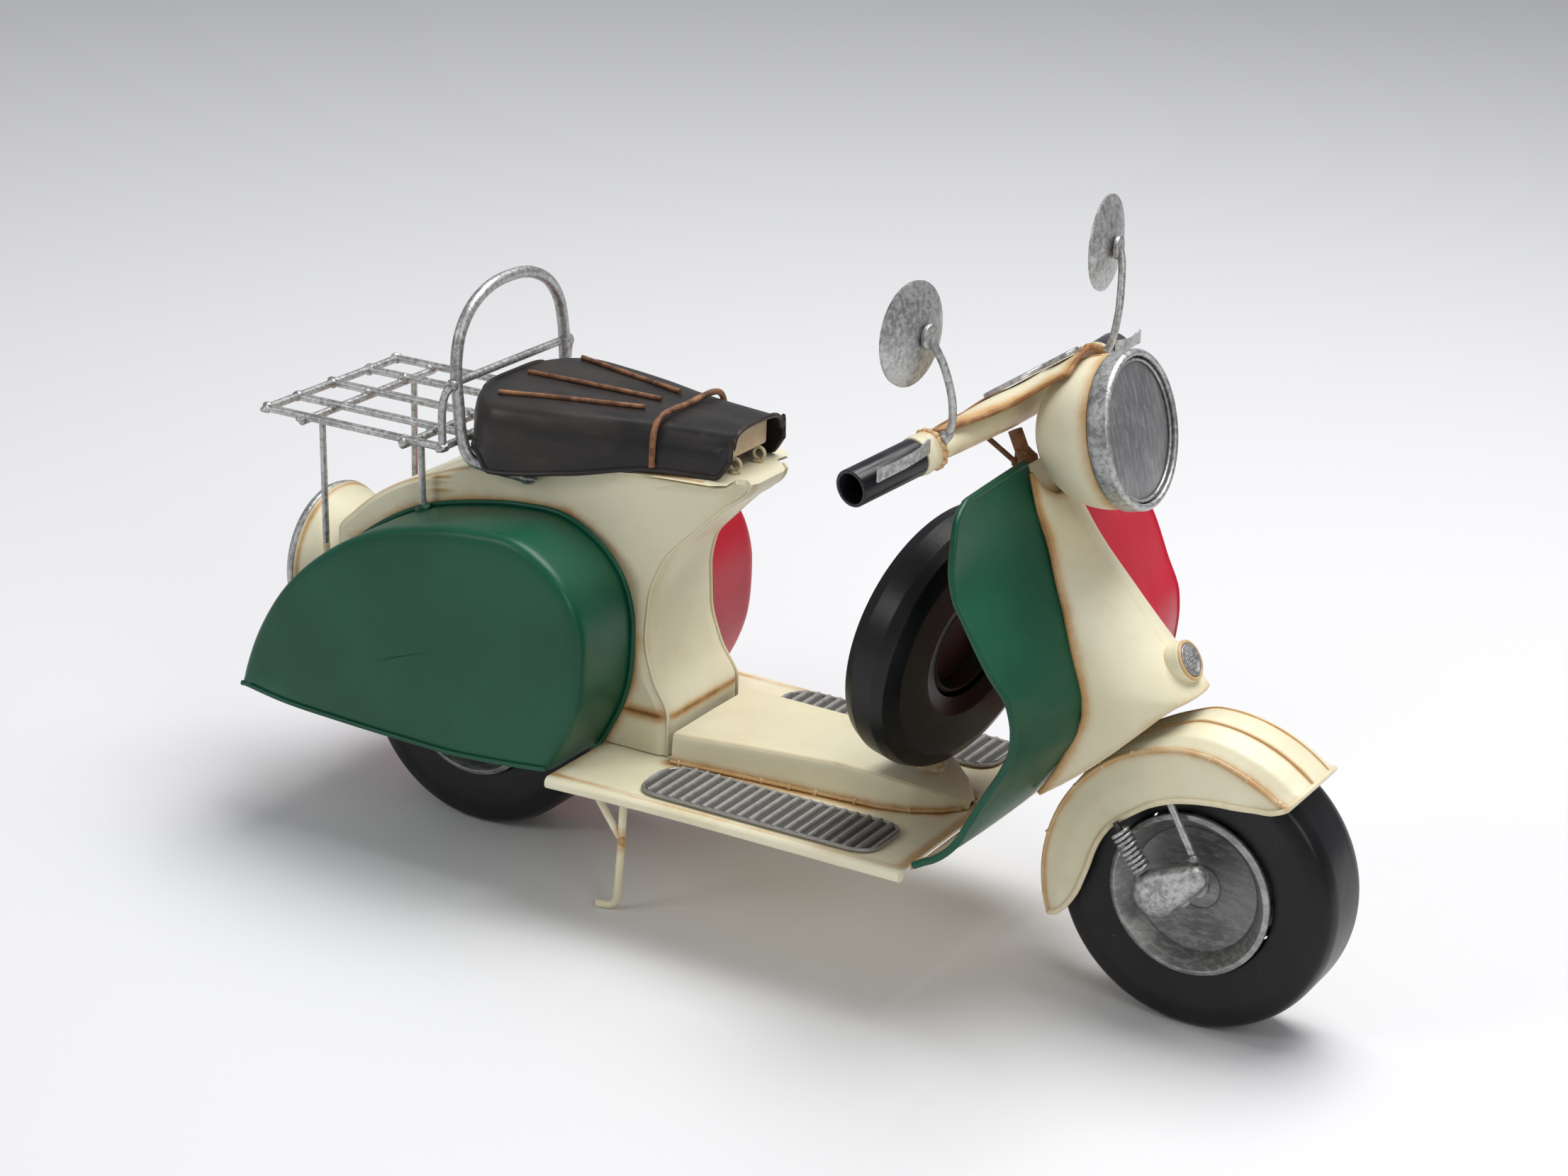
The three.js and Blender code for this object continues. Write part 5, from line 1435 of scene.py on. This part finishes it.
def add_handlebar():
    bar_piece = Piece("bar_tube", "steering", "cream", "handlebar")
    half = np.array([(268, 82, 256.6), (268.6, 45, 255.4), (268.5, 0, 254)])
    route = evenly(spline(np.vstack([half, mirrored(half)[::-1][1:]]), 14), 2.4)
    bar_piece.add(tube(route, 6, 22, wobble=0.005))
    for _, sign in SIDES:
        axis, end = line_on_side(GRIP_AXIS, sign), line_on_side(COLLAR, sign)
        bar_piece.add(turned(COLLAR_PROFILE, axis, end, 0.8, 48))
        across = unit(np.cross(axis, Z_AXIS))
        spots = circle(end - axis * 6.6, across, np.cross(axis, across), 7.2, full_turn(16))
        for n, spot in enumerate(spots):
            bar_piece.add(lump(spot, 1.9, 200 + n + sign), 0.1)
        around = circle(end - axis * 7, X_AXIS, Z_AXIS, 7, full_turn(24, closed=True))
        bar_piece.seam(around, 4.0, 0.9)
    bar_piece.seam([(270, -60, 250.5), (271, 0, 249), (270, 60, 250.5)], 4.5, 0.85)
    bar_piece.make()
    length = np.linalg.norm(GRIP_END - COLLAR)
    for side, sign in SIDES:
        axis, end = line_on_side(GRIP_AXIS, sign), line_on_side(COLLAR, sign)
        grip = Piece(f"grip_{side}_tube", "steering", "grip", f"grip_{side}")
        profile = [[0, 3.5], [8, 3.5], [8, length], [6.4, length], [6.4, length - 22], [0, length - 22]]
        grip.add(turned(profile, axis, end, 0.5, 56))
        grip.make()
        lever = Piece(f"lever_{side}", "steering", "silver", f"brake_lever_{side}")
        path = spline([
            (275.6, 87.5, 263.2), (276.4, 96, 262.6), (274.6, 107, 260.8), (271, 118, 258.8),
            (271.4, 122, 259.6),
        ], 10)
        widths = np.interp(np.linspace(0, 1, len(path)), [0, 0.3, 0.7, 0.85, 1], [3.0, 2.3, 2.5, 2.9, 3.3])
        strip = np.array([[p + (0, 0, w * t) for t in np.linspace(-1, 1, 7)] for p, w in zip(path, widths)])
        lever.add(on_side(sheet(strip, 1.0), sign))
        lever.make(50)


def add_headset():
    rows = []
    for share in np.linspace(0, 1, 40):
        side = along(HEADSET_HALF_WIDTH, [share])[0]
        middle = SLOPE_REAR + (SLOPE_FRONT - SLOPE_REAR) * share
        drop = middle[2] - along(HEADSET_EDGE_Z, [share])[0]
        rows.append([(middle[0], side * a, middle[2] - drop * abs(a) ** 1.7) for a in np.linspace(-1, 1, 49)])
    grid = np.array(rows)
    cover = Piece("headset_skin", "steering", "cream", "headset_cover")
    cover.add(sheet(grid, 1.1))
    outline = np.vstack([grid[:, 0], grid[-1], grid[::-1, -1], grid[0, ::-1]])
    cover.add(tube(evenly(outline, 2.2, closed=True), 1.0, 8, closed=True))
    cover.seam(outline, 5.0, 1.0)
    cover.make()
    slope = unit(SLOPE_FRONT - SLOPE_REAR)
    normal = np.array([-slope[2], 0, slope[0]])
    for name, place, radius in (("gauge_large", 17.5, 15.6), ("gauge_small", 42.5, 7.8)):
        seat = SLOPE_REAR + slope * place + normal * 0.5
        gauge = Piece(name + "_rim", "steering", "silver", name)
        gauge.add(turned([
            [0, 0], [radius, 0], [radius, 1.8], [radius - 1.4, 2.2], [radius - 2.4, 1.2], [0, 1.2],
        ], normal, seat, 0.4, 64))
        gauge.make()


def add_column():
    rake = math.radians(25)
    upward = np.array([-math.sin(rake), 0, math.cos(rake)])
    top = np.array([270.0, 0, 247])

    def at(z):
        return top - upward * (top[2] - z) / upward[2]

    column = Piece("column_rod", "steering", "rust", "steering_column")
    column.add(bar(at(246.4), at(119.8), 3.2, 18))
    column.add(lump(at(233.5), 5.2, 301, (1.1, 1.1, 1.0)))
    column.add(lump(at(237.0), 3.8, 302))
    column.add(bar((261.5, -14, 247.2), (274, -3, 232.5), 1.2, 10))
    column.make()


def add_mirrors():
    axis_left = unit((math.cos(0.1), math.sin(0.1), 0))
    centre_left = np.array([266.0, 90, 309])
    for side, sign in SIDES:
        axis, centre = line_on_side(axis_left, sign), line_on_side(centre_left, sign)
        mirror = Piece(f"mirror_{side}_dish", "steering", "silver", f"mirror_{side}")
        profile = [[0.01, 0.6], [18.6, 0.1], [19.8, -0.8], [21.5, -0.8], [21.7, 0.4]]
        profile += [[21.5 * t, 5.2 - 4.6 * t ** 2] for t in np.linspace(0.99, 0, 18)]
        profile[-1][0] = 0.01
        mirror.add(lathe(profile, axis, centre, 96))
        mirror.make(40)
        stem = Piece(f"mirror_{side}_stem", "steering", "silver", f"mirror_stem_{side}")
        path = spline([
            (275, 75, 262.5), (278, 75, 268), (279.4, 77.6, 280), (277.6, 83, 296), (275, 87, 305),
            (273.4, 87.6, 308.6),
        ], 8)
        stem.add(tube(line_on_side(path, sign), 1.7, 14, wobble=0.015))
        button = [[0, -1], [5.4, -1], [5.4, 0.8], [4.2, 1.2], [0, 1.2]]
        stem.add(turned(button, axis, line_on_side((273.2, 87.5, 308.4), sign), 0.4, 40))
        stem.add(lump(line_on_side((276, 75, 264), sign), 2.8, 401 + sign))
        stem.make()


add_handlebar()
add_headset()
add_column()
add_mirrors()
